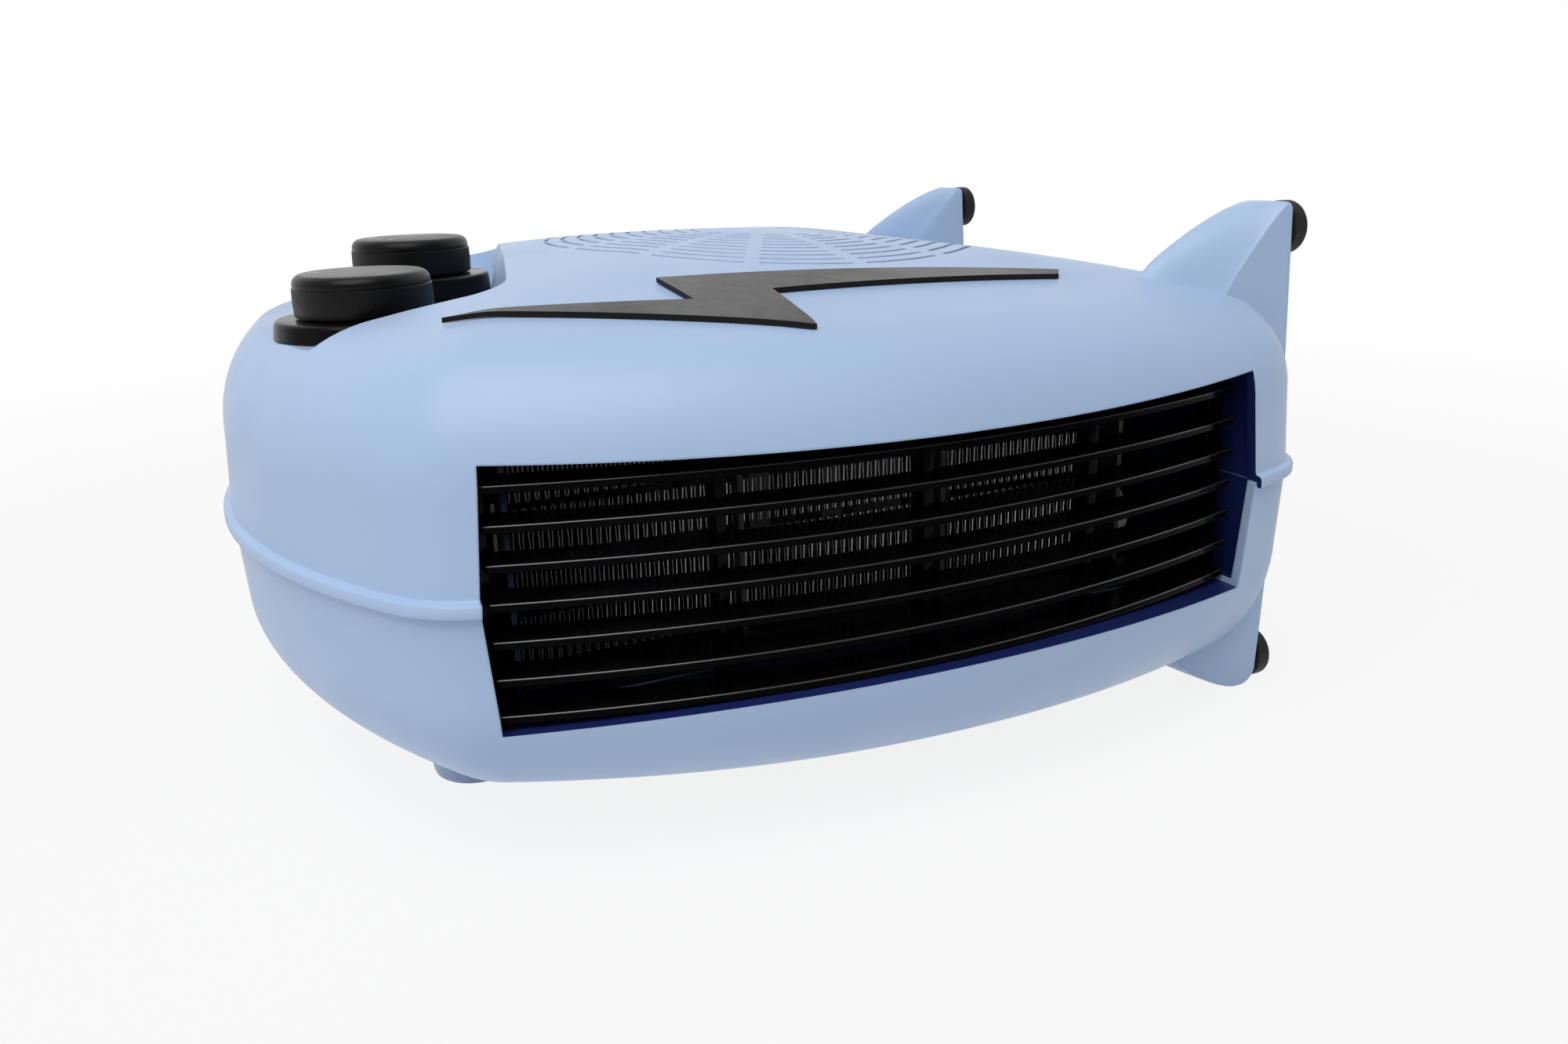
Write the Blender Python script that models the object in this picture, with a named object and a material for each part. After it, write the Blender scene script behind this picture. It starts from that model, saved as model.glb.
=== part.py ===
# Portable flat fan heater: two moulded shells that meet at a horizontal parting plane,
# a convex outlet grille, a zigzag wire element, a centrifugal blower and two control knobs.
# Units are metres. +X runs from the rounded end to the base end, the outlet faces -Y,
# +Z is up, and the heater lies on the plane z = 0 with its box centred on the Z axis.

import math

import bmesh
import bpy
from mathutils import Vector

# Body plan, measured at the parting plane
BODY_LENGTH = 0.2492        # rounded end to base end wall
BODY_DEPTH = 0.2270         # front crown to rear crown
FRONT_RADIUS = 0.2890       # plan arc of the front and of the rear
FRONT_APEX = 0.1349         # rounded end to the crown of the front arc
END_RADIUS = 0.1600         # plan arc of the rounded end
END_CORNER = 0.0250         # plan fillet between the rounded end and the front
BASE_CORNER = 0.0220        # plan fillet between the base end and the front

# Shell section, heights measured from the parting plane
PARTING_HEIGHT = 0.0640     # resting surface to the parting plane
EDGE_HEIGHT = 0.0477        # top of a full quarter rounding between the wall and the dome
EDGE_RADIUS = 0.0280
UPPER_SWEEP = 75.0          # degrees of that rounding before the upper dome starts
LOWER_SWEEP = 81.0
UPPER_CROWN = 0.0593        # crown of the upper dome
LOWER_CROWN = 0.0547
DOME_CENTRE = 0.1244        # rounded end to the crown of the dome
UPPER_TILT = -0.016         # rise of the upper rim along X, metres per metre
LOWER_TILT = 0.033          # fall of the lower rim along X
LOWER_DROP = 0.0034         # lower rim deeper than the upper one, fading to the rounded end
DRAFT = 0.055               # wall lean, metres per metre of height
WALL = 0.0025
BEAD_HALF = 0.0022          # height of the parting bead on each shell
BEAD_PROUD = 0.0018
GAP = 0.0003                # clearance between pieces that touch

# Wings, which carry the rubber feet of the upright stance
WING_WIDTH = 0.0130
WING_SETBACK = 0.0317       # front crown to the outer face of a wing
WING_PROUD = 0.0012         # wing face beyond the end wall at the parting plane
WING_DRAFT = 0.047
WING_TIP_SIDE = 0.0018      # flat top along X at the faces of a wing
WING_TIP_CREST = 0.0064     # flat top along X at its crest
WING_RUN_SIDE = 0.0225      # end wall to the toe of the slope, at the faces
WING_RUN_CREST = 0.0430     # end wall to the toe of the slope, at the crest
WING_RUN_LOWER = 0.0315     # the same on the lower wings, which are plain across
WING_CREST = 0.45           # crest towards the inner face, as a share of the half width
WING_ROUND = 0.0016         # rounding of the tip
WING_ROUND_LOWER = 0.0042   # rounding of a lower tip
WING_TOE_SIDE = 0.0430      # height of the toe at the faces
WING_TOE_CREST = 0.0485     # height of the toe at the crest
WING_BEND_SIDE = 1.15       # power of the slope's fall at the faces
WING_BEND_CREST = 1.45      # the same at the crest, where the tip is rounder
WING_FLARE = 0.80           # share of the run where the slope starts to level out
WING_TOE_FALL = 0.30        # fall left at the toe, against an even slope
FOOT_RADIUS = 0.0066
FOOT_REACH = 0.0036         # rubber foot beyond the end wall at the parting plane
FOOT_DROP = 0.0066          # wing tip to the centre of its rubber foot

# Moulded feet under the rounded end
REST_RADIUS = 0.0105
REST_FROM_END = 0.0464
REST_FROM_MID = 0.0312

# Outlet
OUTLET_CENTRE = 0.1319      # rounded end to the middle of the outlet
OUTLET_WIDTH = 0.1814       # along the upper and lower lips
OUTLET_HALF = 0.0260        # lip height at its middle
LIP_SAG = 0.0018            # lip ends beyond its middle
JAMB_LEAN = 0.080           # outlet widening towards the parting plane
DUCT_DEPTH = 0.0560         # front crown to the blower end of the duct
DUCT_SIDE = 0.0010          # duct wall outside the outlet's widest edge

# Grille
GRILLE_RECESS = 0.0052      # front arc to the nose of the fins, at the outlet's middle
GRILLE_SKEW = 0.017         # growth of the recess along X
GRILLE_DEPTH = 0.0105
GRILLE_STRIP = 0.0050       # side strips
FIN_COUNT = 7
FIN_PITCH = 0.00755
FIN_THICK = 0.0016
FIN_MIDDLE = -0.0013        # height of the middle fin from the parting plane
RIB_COUNT = 3
RIB_PITCH = 0.0450
RIB_THICK = 0.0024
RIB_SETBACK = 0.0060        # nose of a fin to the face of a rib

# Air inlet in the dome
INLET_CENTRE = 0.1400       # rounded end to the middle of the rings, over the blower
INLET_RINGS = 6
INLET_FIRST = 0.0210        # radius of the middle of the inner ring
INLET_STEP = 0.0078
INLET_SECTORS = 12
SLOT_WIDTH = 0.0030
SLOT_BRIDGE = 0.0045

# Controls
POCKET_FLOOR = 0.0430       # height of the control pocket
POCKET_FRONT = 0.0460       # mid-depth line to the front wall of the pocket
POCKET_REAR = 0.0675        # mid-depth line to the rear wall
POCKET_REACH_FRONT = 0.0569 # rounded end to the pocket's inner wall, at its front
POCKET_REACH_REAR = 0.0805  # the same at its rear
POCKET_LEAN = 0.300
POCKET_CORNER = 0.0090
PANEL_HEIGHT = 0.0038       # boss under the selector knob
THERMOSTAT_RAISE = 0.0033   # boss under the thermostat knob, above the other
PANEL_BOSS_RADIUS = 0.0198
PANEL_WEB = 0.0240
SELECTOR_PLACE = (0.0333, -0.0242)    # from the rounded end, from the mid-depth line
THERMOSTAT_PLACE = (0.0526, 0.0301)
KNOB_RADIUS = 0.0150
KNOB_HEIGHT = 0.0095
KNOB_EDGE = 0.0030
KNOB_CROWN = 0.0005
SPINDLE_RADIUS = 0.0030
SPINDLE_IN_KNOB = 0.0065
SWITCH_SIZE = 0.0270
SWITCH_HEIGHT = 0.0180
THERMOSTAT_WIDTH = 0.0200
THERMOSTAT_LENGTH = 0.0340
THERMOSTAT_HEIGHT = 0.0120
BLADE_THICK = 0.0008

# Bolt figure laid on the dome: corners from the dome's crown along X, from the front crown along Y
BOLT_LEFT = (-0.0817, 0.0475)
BOLT_NOTCH_REAR = (-0.0330, 0.0366)
BOLT_REAR = (-0.0356, 0.0519)
BOLT_RIGHT = (0.0613, 0.0427)
BOLT_RIGHT_FRONT = (0.0587, 0.0391)
BOLT_NOTCH_FRONT = (-0.0148, 0.0383)
BOLT_FRONT = (-0.0140, 0.0187)
BOLT_THICK = 0.0010

# Blower and motor, heights from the parting plane
WHEEL_RADIUS = 0.0520
WHEEL_BASE = -0.0160
WHEEL_TOP = 0.0260
WHEEL_PLATE = 0.0020
WHEEL_RIM = 0.0090          # radial depth of the blades
WHEEL_HUB = 0.0080
WHEEL_BLADES = 18
BLADE_SHARE = 0.28          # part of the pitch that a blade takes
BLADE_SWEEP = 16.0          # degrees from the inner to the outer edge
SHAFT_RADIUS = 0.0025
CORE_THICK = 0.0140
CORE_TOP = -0.0239
CORE_WIDTH = 0.0500
CORE_FRONT = 0.0220         # shaft to the front of the core
CORE_REAR = 0.0520
CORE_BAR = 0.0100           # bar that carries the coil
CORE_WINDOW = 0.0300
ROTOR_RADIUS = 0.0130
AIR_GAP = 0.0006
COIL_BUILD = 0.0050
BRACKET_THICK = 0.0015
BRACKET_WIDTH = 0.0160
BRACKET_LEG = 0.0060        # clear height under the core for the bearing
BEARING_RADIUS = 0.0055
BEARING_HEIGHT = 0.0042
RUNNING_GAP = 0.0003
POST_RADIUS = 0.0050

# Heating element
ELEMENT_FRONT = 0.0330      # front crown to the front edge of the mica plates
ELEMENT_DEPTH = 0.0180
ELEMENT_ROOM_LEFT = 0.0067  # edge of the outlet's lip to the left plate
ELEMENT_ROOM_RIGHT = 0.0247 # edge of the outlet's lip to the right plate
MICA_THICK = 0.0012
WIRE_ROWS = 4
WIRE_RADIUS = 0.00045
WIRE_LOOPS = 20
ROW_HEIGHT = 0.0092
ROW_PITCH = 0.0117
SPACER_COUNT = 2
TAB_WIDTH = 0.0080
TAB_HEIGHT = 0.0140
TAB_THICK = 0.0008
CUTOUT_RADIUS = 0.0070
CUTOUT_LENGTH = 0.0060

# Fasteners and cord inlet
END_SCREWS = ((0.0244, -0.0500), (0.0384, 0.0850))     # from the rounded end, from the mid-depth line
BASE_SCREW_INSET = 0.0123   # base end wall to the screws there
BASE_SCREW_REACH = 0.0430   # mid-depth line to the screws at the base end
COLUMN_RADIUS = 0.0048
SCREW_HEAD = 0.0031
SCREW_HEAD_HEIGHT = 0.0022
SCREW_SHANK = 0.0015
SCREW_GRIP = 0.0120         # thread in the upper boss
SCREW_LAND = 0.0050         # material under the screw head
BUSH_FROM_END = 0.1984
BUSH_HEIGHT = -0.0130
BUSH_RADIUS = 0.0065
BUSH_BORE = 0.0038
BUSH_FLANGE = 0.0018
BUSH_LENGTH = 0.0100

# Facet counts
FRONT_STEPS = 12
END_STEPS = 6
CORNER_STEPS = 4
BASE_STEPS = 2
EDGE_SHARES = (0.0, 0.18, 0.44, 0.72, 1.0)     # rings of the rounding between a wall and its dome
DOME_SHARES = (0.18, 0.42, 0.70)     # rings of a dome, from its rim to its crown
HOLLOW_SHARES = (0.42,)     # the same inside a shell
LEAST_FILLET = 0.0100

# Places worked out from the driving dimensions
LEFT_X = (BEAD_PROUD - BODY_LENGTH - FOOT_REACH) / 2
BASE_X = LEFT_X + BODY_LENGTH
STRAIGHT_TOP = EDGE_HEIGHT - EDGE_RADIUS
LIP_HEIGHT = OUTLET_HALF + LIP_SAG * 0.5


def wall_inset(height):
    """How far the outer wall stands in from the parting outline at a height."""
    if height <= STRAIGHT_TOP:
        return DRAFT * height
    rise = min((height - STRAIGHT_TOP) / EDGE_RADIUS, 1.0)
    return DRAFT * STRAIGHT_TOP + EDGE_RADIUS * (1 - math.sqrt(1 - rise * rise))


FRONT_Y = -(BODY_DEPTH + BEAD_PROUD + wall_inset(OUTLET_HALF - LIP_SAG / 2)) / 2
REAR_Y = FRONT_Y + BODY_DEPTH
MID_Y = FRONT_Y + BODY_DEPTH / 2
OUTLET_X = LEFT_X + OUTLET_CENTRE
AXIS_X = LEFT_X + DOME_CENTRE
BLOWER_X = LEFT_X + INLET_CENTRE
FRONT_CENTRE = Vector((LEFT_X + FRONT_APEX, FRONT_Y + FRONT_RADIUS))
OUTLET_WIDE = OUTLET_WIDTH / 2 + JAMB_LEAN * OUTLET_HALF
DUCT_HALF = OUTLET_WIDE + DUCT_SIDE
DUCT_CLEAR = OUTLET_HALF - 2 * GAP
SELECTOR_AXIS = (LEFT_X + SELECTOR_PLACE[0], MID_Y + SELECTOR_PLACE[1])
THERMOSTAT_AXIS = (LEFT_X + THERMOSTAT_PLACE[0], MID_Y + THERMOSTAT_PLACE[1])
ELEMENT_LEFT = ELEMENT_ROOM_LEFT - OUTLET_WIDTH / 2
ELEMENT_RIGHT = OUTLET_WIDTH / 2 - ELEMENT_ROOM_RIGHT
SCREW_PLACES = (*END_SCREWS, (BODY_LENGTH - BASE_SCREW_INSET, -BASE_SCREW_REACH),
                (BODY_LENGTH - BASE_SCREW_INSET, BASE_SCREW_REACH))
WING_MIDS = (FRONT_Y + WING_SETBACK + WING_WIDTH / 2, REAR_Y - WING_SETBACK - WING_WIDTH / 2)


# Materials
def material(name, colour, roughness, metallic=0.0):
    made = bpy.data.materials.new(name)
    made.use_nodes = True
    shader = made.node_tree.nodes["Principled BSDF"]
    shader.inputs["Base Color"].default_value = (*colour, 1.0)
    shader.inputs["Roughness"].default_value = roughness
    shader.inputs["Metallic"].default_value = metallic
    return made


# Mesh helpers
def add_piece(name, mesh_data, finish, place=(0, 0, 0)):
    mesh = bpy.data.meshes.new(name)
    mesh_data.to_mesh(mesh)
    mesh_data.free()
    piece = bpy.data.objects.new(name, mesh)
    piece.location = place
    bpy.context.scene.collection.objects.link(piece)
    if finish:
        mesh.materials.append(finish)
    return piece


def face_out(shape):
    shape.normal_update()
    bmesh.ops.recalc_face_normals(shape, faces=shape.faces)


def loft(rings, apex=None):
    """Closed solid through rings of equal count, listed upwards and counter-clockwise from above."""
    shape = bmesh.new()
    loops = [[shape.verts.new(point) for point in ring] for ring in rings]
    count = len(loops[0])
    shape.faces.new(reversed(loops[0]))
    for low, high in zip(loops, loops[1:]):
        for i in range(count):
            j = (i + 1) % count
            shape.faces.new((low[i], low[j], high[j], high[i]))
    if apex is None:
        shape.faces.new(loops[-1])
    else:
        tip = shape.verts.new(apex)
        for i in range(count):
            shape.faces.new((loops[-1][i], loops[-1][(i + 1) % count], tip))
    return shape


def prism(outline, low, high):
    return loft([[(x, y, low) for x, y in outline], [(x, y, high) for x, y in outline]])


def prism_along_y(outline, front, back):
    """Prism of an (x, z) outline that runs counter-clockwise seen from the front."""
    return loft_along_y([(front, outline), (back, outline)])


def loft_along_y(sections):
    shape = loft([[(x, y, z) for x, z in outline] for y, outline in sections])
    face_out(shape)
    return shape


def box(low, high):
    (x0, y0, z0), (x1, y1, z1) = low, high
    return prism([(x0, y0), (x1, y0), (x1, y1), (x0, y1)], z0, z1)


def circle(centre, radius, count):
    turn = 2 * math.pi / count
    return [(centre[0] + radius * math.cos(turn * i), centre[1] + radius * math.sin(turn * i))
            for i in range(count)]


def turned(profile, count):
    """Solid of revolution about Z. The (radius, height) profile runs up the outside, then in."""
    shape = bmesh.new()
    verts = [shape.verts.new((radius, 0, height)) for radius, height in profile]
    edges = [shape.edges.new((verts[i], verts[(i + 1) % len(verts)])) for i in range(len(verts))]
    bmesh.ops.spin(shape, geom=verts + edges, cent=(0, 0, 0), axis=(0, 0, 1),
                   angle=2 * math.pi, steps=count, use_merge=True)
    bmesh.ops.remove_doubles(shape, verts=shape.verts, dist=1e-6)
    bmesh.ops.dissolve_degenerate(shape, edges=shape.edges, dist=1e-6)
    face_out(shape)
    return shape


def combine(target, shapes, operation):
    """Boolean a list of bmesh solids into a piece, one after another."""
    for shape in shapes:
        tool = add_piece("tool", shape, None)
        combine_object(target, tool, operation)


def combine_object(target, tool, operation):
    step = target.modifiers.new("combine", "BOOLEAN")
    step.operation = operation
    step.solver = "EXACT"
    step.object = tool
    graph = bpy.context.evaluated_depsgraph_get()
    mesh = bpy.data.meshes.new_from_object(target.evaluated_get(graph))
    target.modifiers.clear()
    old = target.data
    target.data = mesh
    bpy.data.meshes.remove(old)
    bpy.data.objects.remove(tool)


def joined(shapes):
    """One bmesh that holds several solids that stay clear of each other."""
    whole = bmesh.new()
    for shape in shapes:
        mesh = bpy.data.meshes.new("joined")
        shape.to_mesh(mesh)
        shape.free()
        whole.from_mesh(mesh)
        bpy.data.meshes.remove(mesh)
    return whole


def lift(height):
    return PARTING_HEIGHT + height


# Body plan and shell surface
def arc(centre, radius, start, end, steps):
    """Points on an arc, without its last point."""
    return [(centre[0] + radius * math.cos(start + (end - start) * i / steps),
             centre[1] + radius * math.sin(start + (end - start) * i / steps)) for i in range(steps)]


def plan_outline(inset):
    """Counter-clockwise plan of the body, offset inwards by the inset."""
    front_radius = FRONT_RADIUS - inset
    end_radius = END_RADIUS - inset
    end_centre = Vector((LEFT_X + END_RADIUS, MID_Y))
    corner = max(END_CORNER - inset, LEAST_FILLET)
    base_corner = max(BASE_CORNER - inset, LEAST_FILLET)

    # Fillet at the base end touches the front arc and the end wall.
    base_x = BASE_X - inset - base_corner
    reach = front_radius - base_corner
    base_y = FRONT_CENTRE.y - math.sqrt(reach ** 2 - (base_x - FRONT_CENTRE.x) ** 2)
    base_fillet = Vector((base_x, base_y))

    # Fillet at the rounded end touches both arcs: the meeting of two circles.
    along = end_centre - FRONT_CENTRE
    reach_front = front_radius - corner
    reach_end = end_radius - corner
    span = along.length
    step = (reach_front ** 2 - reach_end ** 2 + span ** 2) / (2 * span)
    side = math.sqrt(reach_front ** 2 - step ** 2)
    unit = along / span
    across = Vector((-unit.y, unit.x)) * side
    end_fillet = min(FRONT_CENTRE + unit * step + across, FRONT_CENTRE + unit * step - across,
                     key=lambda point: point.x)

    def heading(centre, point):
        return math.atan2(point.y - centre.y, point.x - centre.x)

    front_start = heading(FRONT_CENTRE, end_fillet)
    front_end = heading(FRONT_CENTRE, base_fillet)
    end_turn = heading(end_centre, end_fillet) % (2 * math.pi)
    half = arc(FRONT_CENTRE, front_radius, front_start, front_end, FRONT_STEPS)
    half += arc(base_fillet, base_corner, front_end, 0.0, CORNER_STEPS)
    wall_length = 2 * (MID_Y - base_y)
    wall = [(BASE_X - inset, base_y + wall_length * i / BASE_STEPS) for i in range(BASE_STEPS + 1)]
    corner_arc = arc(end_fillet, corner, end_turn, front_start + 2 * math.pi, CORNER_STEPS)
    mirrored = [(x, 2 * MID_Y - y) for x, y in reversed(half[1:])]
    far_corner = [(x, 2 * MID_Y - y) for x, y in reversed(corner_arc)]
    first = [(half[0][0], 2 * MID_Y - half[0][1])]
    sweep = end_turn - math.pi
    end_arc = arc(end_centre, end_radius, math.pi - sweep, math.pi + sweep, END_STEPS)[1:]
    return half + wall + mirrored + first + far_corner + end_arc + corner_arc


def tilted(side, x, y, height):
    """Point of a shell's surface, with its rim and dome tilted along X."""
    share = min(max((height - STRAIGHT_TOP) / EDGE_RADIUS, 0.0), 1.0)
    run = x - AXIS_X
    change = UPPER_TILT * run
    if side < 0:
        change = LOWER_TILT * run + LOWER_DROP * (1 - (min(run, 0.0) / DOME_CENTRE) ** 2)
    return (x, y, height + change * share)


def shell_rings(side, offset=0.0, bead=False, base=0.0):
    """Rings of one shell's surface, moved inwards by an offset, and the tip of its dome."""
    levels = []
    if bead:
        levels.append((base, -BEAD_PROUD))
        levels.append((BEAD_HALF * 0.72, -BEAD_PROUD))
        levels.append((BEAD_HALF, -BEAD_PROUD * 0.6))
        levels.append((BEAD_HALF + GAP, wall_inset(BEAD_HALF)))
    else:
        levels.append((base, DRAFT * base + offset))
    sweep = math.radians(UPPER_SWEEP if side > 0 else LOWER_SWEEP)
    radius = EDGE_RADIUS - offset
    for share in EDGE_SHARES:
        turn = sweep * share
        inset = DRAFT * STRAIGHT_TOP + EDGE_RADIUS - radius * math.cos(turn)
        levels.append((STRAIGHT_TOP + radius * math.sin(turn), inset))
    rings = [[tilted(side, x, y, height) for x, y in plan_outline(inset)] for height, inset in levels]
    rim_height, rim_inset = levels[-1]
    rim = plan_outline(rim_inset)
    crown = (UPPER_CROWN if side > 0 else LOWER_CROWN) - offset
    for share in HOLLOW_SHARES if offset > 0 else DOME_SHARES:
        left = 1 - share
        height = crown - (crown - rim_height) * left ** 2
        rings.append([tilted(side, AXIS_X + (x - AXIS_X) * left, MID_Y + (y - MID_Y) * left, height)
                      for x, y in rim])
    return rings, tilted(side, AXIS_X, MID_Y, crown)


def shell_solid(side, offset=0.0, bead=False, base=0.0):
    """Solid under the shell surface. side is 1 for the upper shell and -1 for the lower."""
    rings, tip = shell_rings(side, offset, bead, base)
    shape = loft(rings, tip)
    place_side(shape, side)
    return shape


def place_side(shape, side):
    """Move a solid built on the parting plane to its height, mirrored for the lower shell."""
    for vert in shape.verts:
        vert.co.z = PARTING_HEIGHT + side * vert.co.z
    if side < 0:
        bmesh.ops.reverse_faces(shape, faces=shape.faces)


def front_surface(x):
    """Front of the plan at the parting plane."""
    return FRONT_CENTRE.y - math.sqrt(FRONT_RADIUS ** 2 - (x - FRONT_CENTRE.x) ** 2)


# Features that the two shells share
def wing_face(height):
    return BASE_X + WING_PROUD - WING_DRAFT * height


def wing_fall(share, bend):
    """Share of a wing's drop at a share of its run: round at the tip, level again at the toe."""
    if share <= WING_FLARE:
        return share ** bend
    start = WING_FLARE ** bend
    width = 1 - WING_FLARE
    along = (share - WING_FLARE) / width
    leave = bend * start / WING_FLARE * width * along * (1 - along) ** 2
    arrive = WING_TOE_FALL * width * along ** 2 * (along - 1)
    return start + (1 - start) * along ** 2 * (3 - 2 * along) + leave + arrive


def wing_section(nose, longest, rounding):
    """(x, z) outline of a wing. nose is 0 at its bevelled faces and 1 at its crest."""
    top = PARTING_HEIGHT
    tip = WING_TIP_SIDE + (WING_TIP_CREST - WING_TIP_SIDE) * nose
    run = WING_RUN_SIDE + (longest - WING_RUN_SIDE) * nose
    start = wing_face(top) - tip
    toe = BASE_X - run
    drop = top - WING_TOE_SIDE - (WING_TOE_CREST - WING_TOE_SIDE) * nose
    bend = WING_BEND_SIDE + (WING_BEND_CREST - WING_BEND_SIDE) * nose
    steps = 10
    slope = []
    for i in range(steps + 1):
        share = i / steps
        slope.append((start + (toe - start) * share, top - drop * wing_fall(share, bend)))
    base = BEAD_HALF / 2
    shoulder = top - rounding
    bevel = rounding * 0.3
    tip_round = [(wing_face(shoulder), shoulder), (wing_face(top) - bevel, top - bevel),
                 (wing_face(top) - rounding, top)]
    return [(toe, base), (wing_face(base), base)] + tip_round + slope


def wing(middle, side):
    half = WING_WIDTH / 2
    noses = ((-1.0, 1.0), (1.0, 1.0))
    longest = WING_RUN_LOWER
    rounding = WING_ROUND_LOWER
    if side > 0:
        crest = WING_CREST if middle < MID_Y else -WING_CREST
        noses = ((-1.0, 0.0), (crest / 2 - 0.5, 0.6), (crest, 1.0), (crest / 2 + 0.5, 0.6), (1.0, 0.0))
        longest = WING_RUN_CREST
        rounding = WING_ROUND
    sections = [(middle + half * share, wing_section(nose, longest, rounding)) for share, nose in noses]
    shape = loft_along_y(sections)
    place_side(shape, side)
    face_out(shape)
    return shape


def outlet_cutter(side):
    """Prism that opens the outlet in one shell, with leaning jambs and a sagging lip."""
    low = -2 * GAP
    wide = OUTLET_WIDE - JAMB_LEAN * low
    narrow = OUTLET_WIDTH / 2
    steps = 8
    lip = []
    for i in range(steps + 1):
        share = 1 - 2 * i / steps
        lip.append((OUTLET_X + narrow * share, OUTLET_HALF + LIP_SAG * (share * share - 0.5)))
    outline = [(OUTLET_X - wide, low), (OUTLET_X + wide, low)] + lip
    shape = prism_along_y(outline, FRONT_Y - WALL, front_surface(OUTLET_X - wide) + 4 * WALL)
    place_side(shape, side)
    face_out(shape)
    return shape


def duct_walls(side):
    """Side walls and roof of the outlet duct, from the front wall to the blower."""
    base = GAP / 2
    front = FRONT_Y + WALL
    back = FRONT_Y + DUCT_DEPTH
    top = EDGE_HEIGHT
    shapes = []
    for edge in (-1, 1):
        inner = OUTLET_X + edge * DUCT_HALF
        outer = inner + edge * WALL
        shapes.append(box((min(inner, outer), front, base), (max(inner, outer), back, top)))
    roof_front = FRONT_Y + wall_inset(LIP_HEIGHT) + WALL * 0.5
    shapes.append(box((OUTLET_X - DUCT_HALF - WALL * 0.5, roof_front, DUCT_CLEAR),
                      (OUTLET_X + DUCT_HALF + WALL * 0.5, back, DUCT_CLEAR + WALL)))
    for shape in shapes:
        place_side(shape, side)
    return shapes


def column(place, radius, low, high):
    x, y = LEFT_X + place[0], MID_Y + place[1]
    return prism(circle((x, y), radius, 12), low, high)


# Control pocket
def rounded_corners(corners, radius, steps):
    """Outline of a counter-clockwise polygon with every corner filleted."""
    points = []
    for i, corner in enumerate(corners):
        here = Vector(corner)
        before = (Vector(corners[i - 1]) - here).normalized()
        after = (Vector(corners[(i + 1) % len(corners)]) - here).normalized()
        half = before.angle(after) / 2
        centre = here + (before + after).normalized() * (radius / math.sin(half))
        start = here + before * (radius / math.tan(half)) - centre
        end = here + after * (radius / math.tan(half)) - centre
        turn = start.angle_signed(end)
        for k in range(steps + 1):
            spin = -turn * k / steps
            points.append((centre.x + start.x * math.cos(spin) - start.y * math.sin(spin),
                           centre.y + start.x * math.sin(spin) + start.y * math.cos(spin)))
    return points


def pocket_corners(grow):
    """Plan of the control pocket, open at the rounded end, grown outwards."""
    outside = LEFT_X - 4 * WALL
    front = MID_Y - POCKET_FRONT - grow
    rear = MID_Y + POCKET_REAR + grow
    return [(outside - grow, front), (LEFT_X + POCKET_REACH_FRONT + grow, front),
            (LEFT_X + POCKET_REACH_REAR + grow, rear), (outside - grow, rear)]


def pocket_solid(grow, floor):
    """Pocket volume with leaning walls, from its floor to above the dome."""
    top = PARTING_HEIGHT + WALL
    lean = POCKET_LEAN * (top - floor)
    low = rounded_corners(pocket_corners(grow), POCKET_CORNER + grow, 4)
    high = rounded_corners(pocket_corners(grow + lean), POCKET_CORNER + grow + lean, 4)
    return loft([[(x, y, lift(floor)) for x, y in low], [(x, y, lift(top)) for x, y in high]])


def inlet_slots():
    """Rings of curved slots over the blower, in sectors parted by radial bridges."""
    slots = []
    sector = 2 * math.pi / INLET_SECTORS
    for ring in range(INLET_RINGS):
        radius = INLET_FIRST + INLET_STEP * ring
        outer_radius, inner_radius = radius + SLOT_WIDTH / 2, radius - SLOT_WIDTH / 2
        half = (sector - SLOT_BRIDGE / radius) / 2
        for i in range(INLET_SECTORS):
            turns = (sector * i - half, sector * i, sector * i + half)
            corners = [(outer_radius, turn) for turn in turns]
            corners += [(inner_radius, turn) for turn in reversed(turns)]
            outline = [(BLOWER_X + reach * math.cos(turn), MID_Y + reach * math.sin(turn))
                       for reach, turn in corners]
            slots.append(prism(outline, lift(EDGE_HEIGHT), lift(PARTING_HEIGHT)))
    return joined(slots)


# Shells
def build_upper_shell(finish):
    shell = add_piece("upper_shell", shell_solid(1, bead=True, base=GAP / 2), finish)
    combine(shell, [wing(middle, 1) for middle in WING_MIDS], "UNION")
    hollow = add_piece("upper_hollow", shell_solid(1, offset=WALL, base=-WALL), None)
    kept = [pocket_solid(WALL, POCKET_FLOOR - WALL)]
    kept += duct_walls(1)
    kept += [column(place, COLUMN_RADIUS, lift(GAP / 2), lift(PARTING_HEIGHT))
             for place in SCREW_PLACES]
    combine(hollow, kept, "DIFFERENCE")
    combine_object(shell, hollow, "DIFFERENCE")
    pilots = [column(place, SCREW_SHANK + GAP, lift(-GAP), lift(SCREW_GRIP + 2 * GAP))
              for place in SCREW_PLACES]
    spindles = [prism(circle(axis, SPINDLE_RADIUS + 2 * GAP, 12), lift(STRAIGHT_TOP), lift(EDGE_HEIGHT))
                for axis in (SELECTOR_AXIS, THERMOSTAT_AXIS)]
    cuts = [pocket_solid(0.0, POCKET_FLOOR), outlet_cutter(1), inlet_slots()]
    combine(shell, cuts + pilots + spindles, "DIFFERENCE")
    return shell


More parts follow.
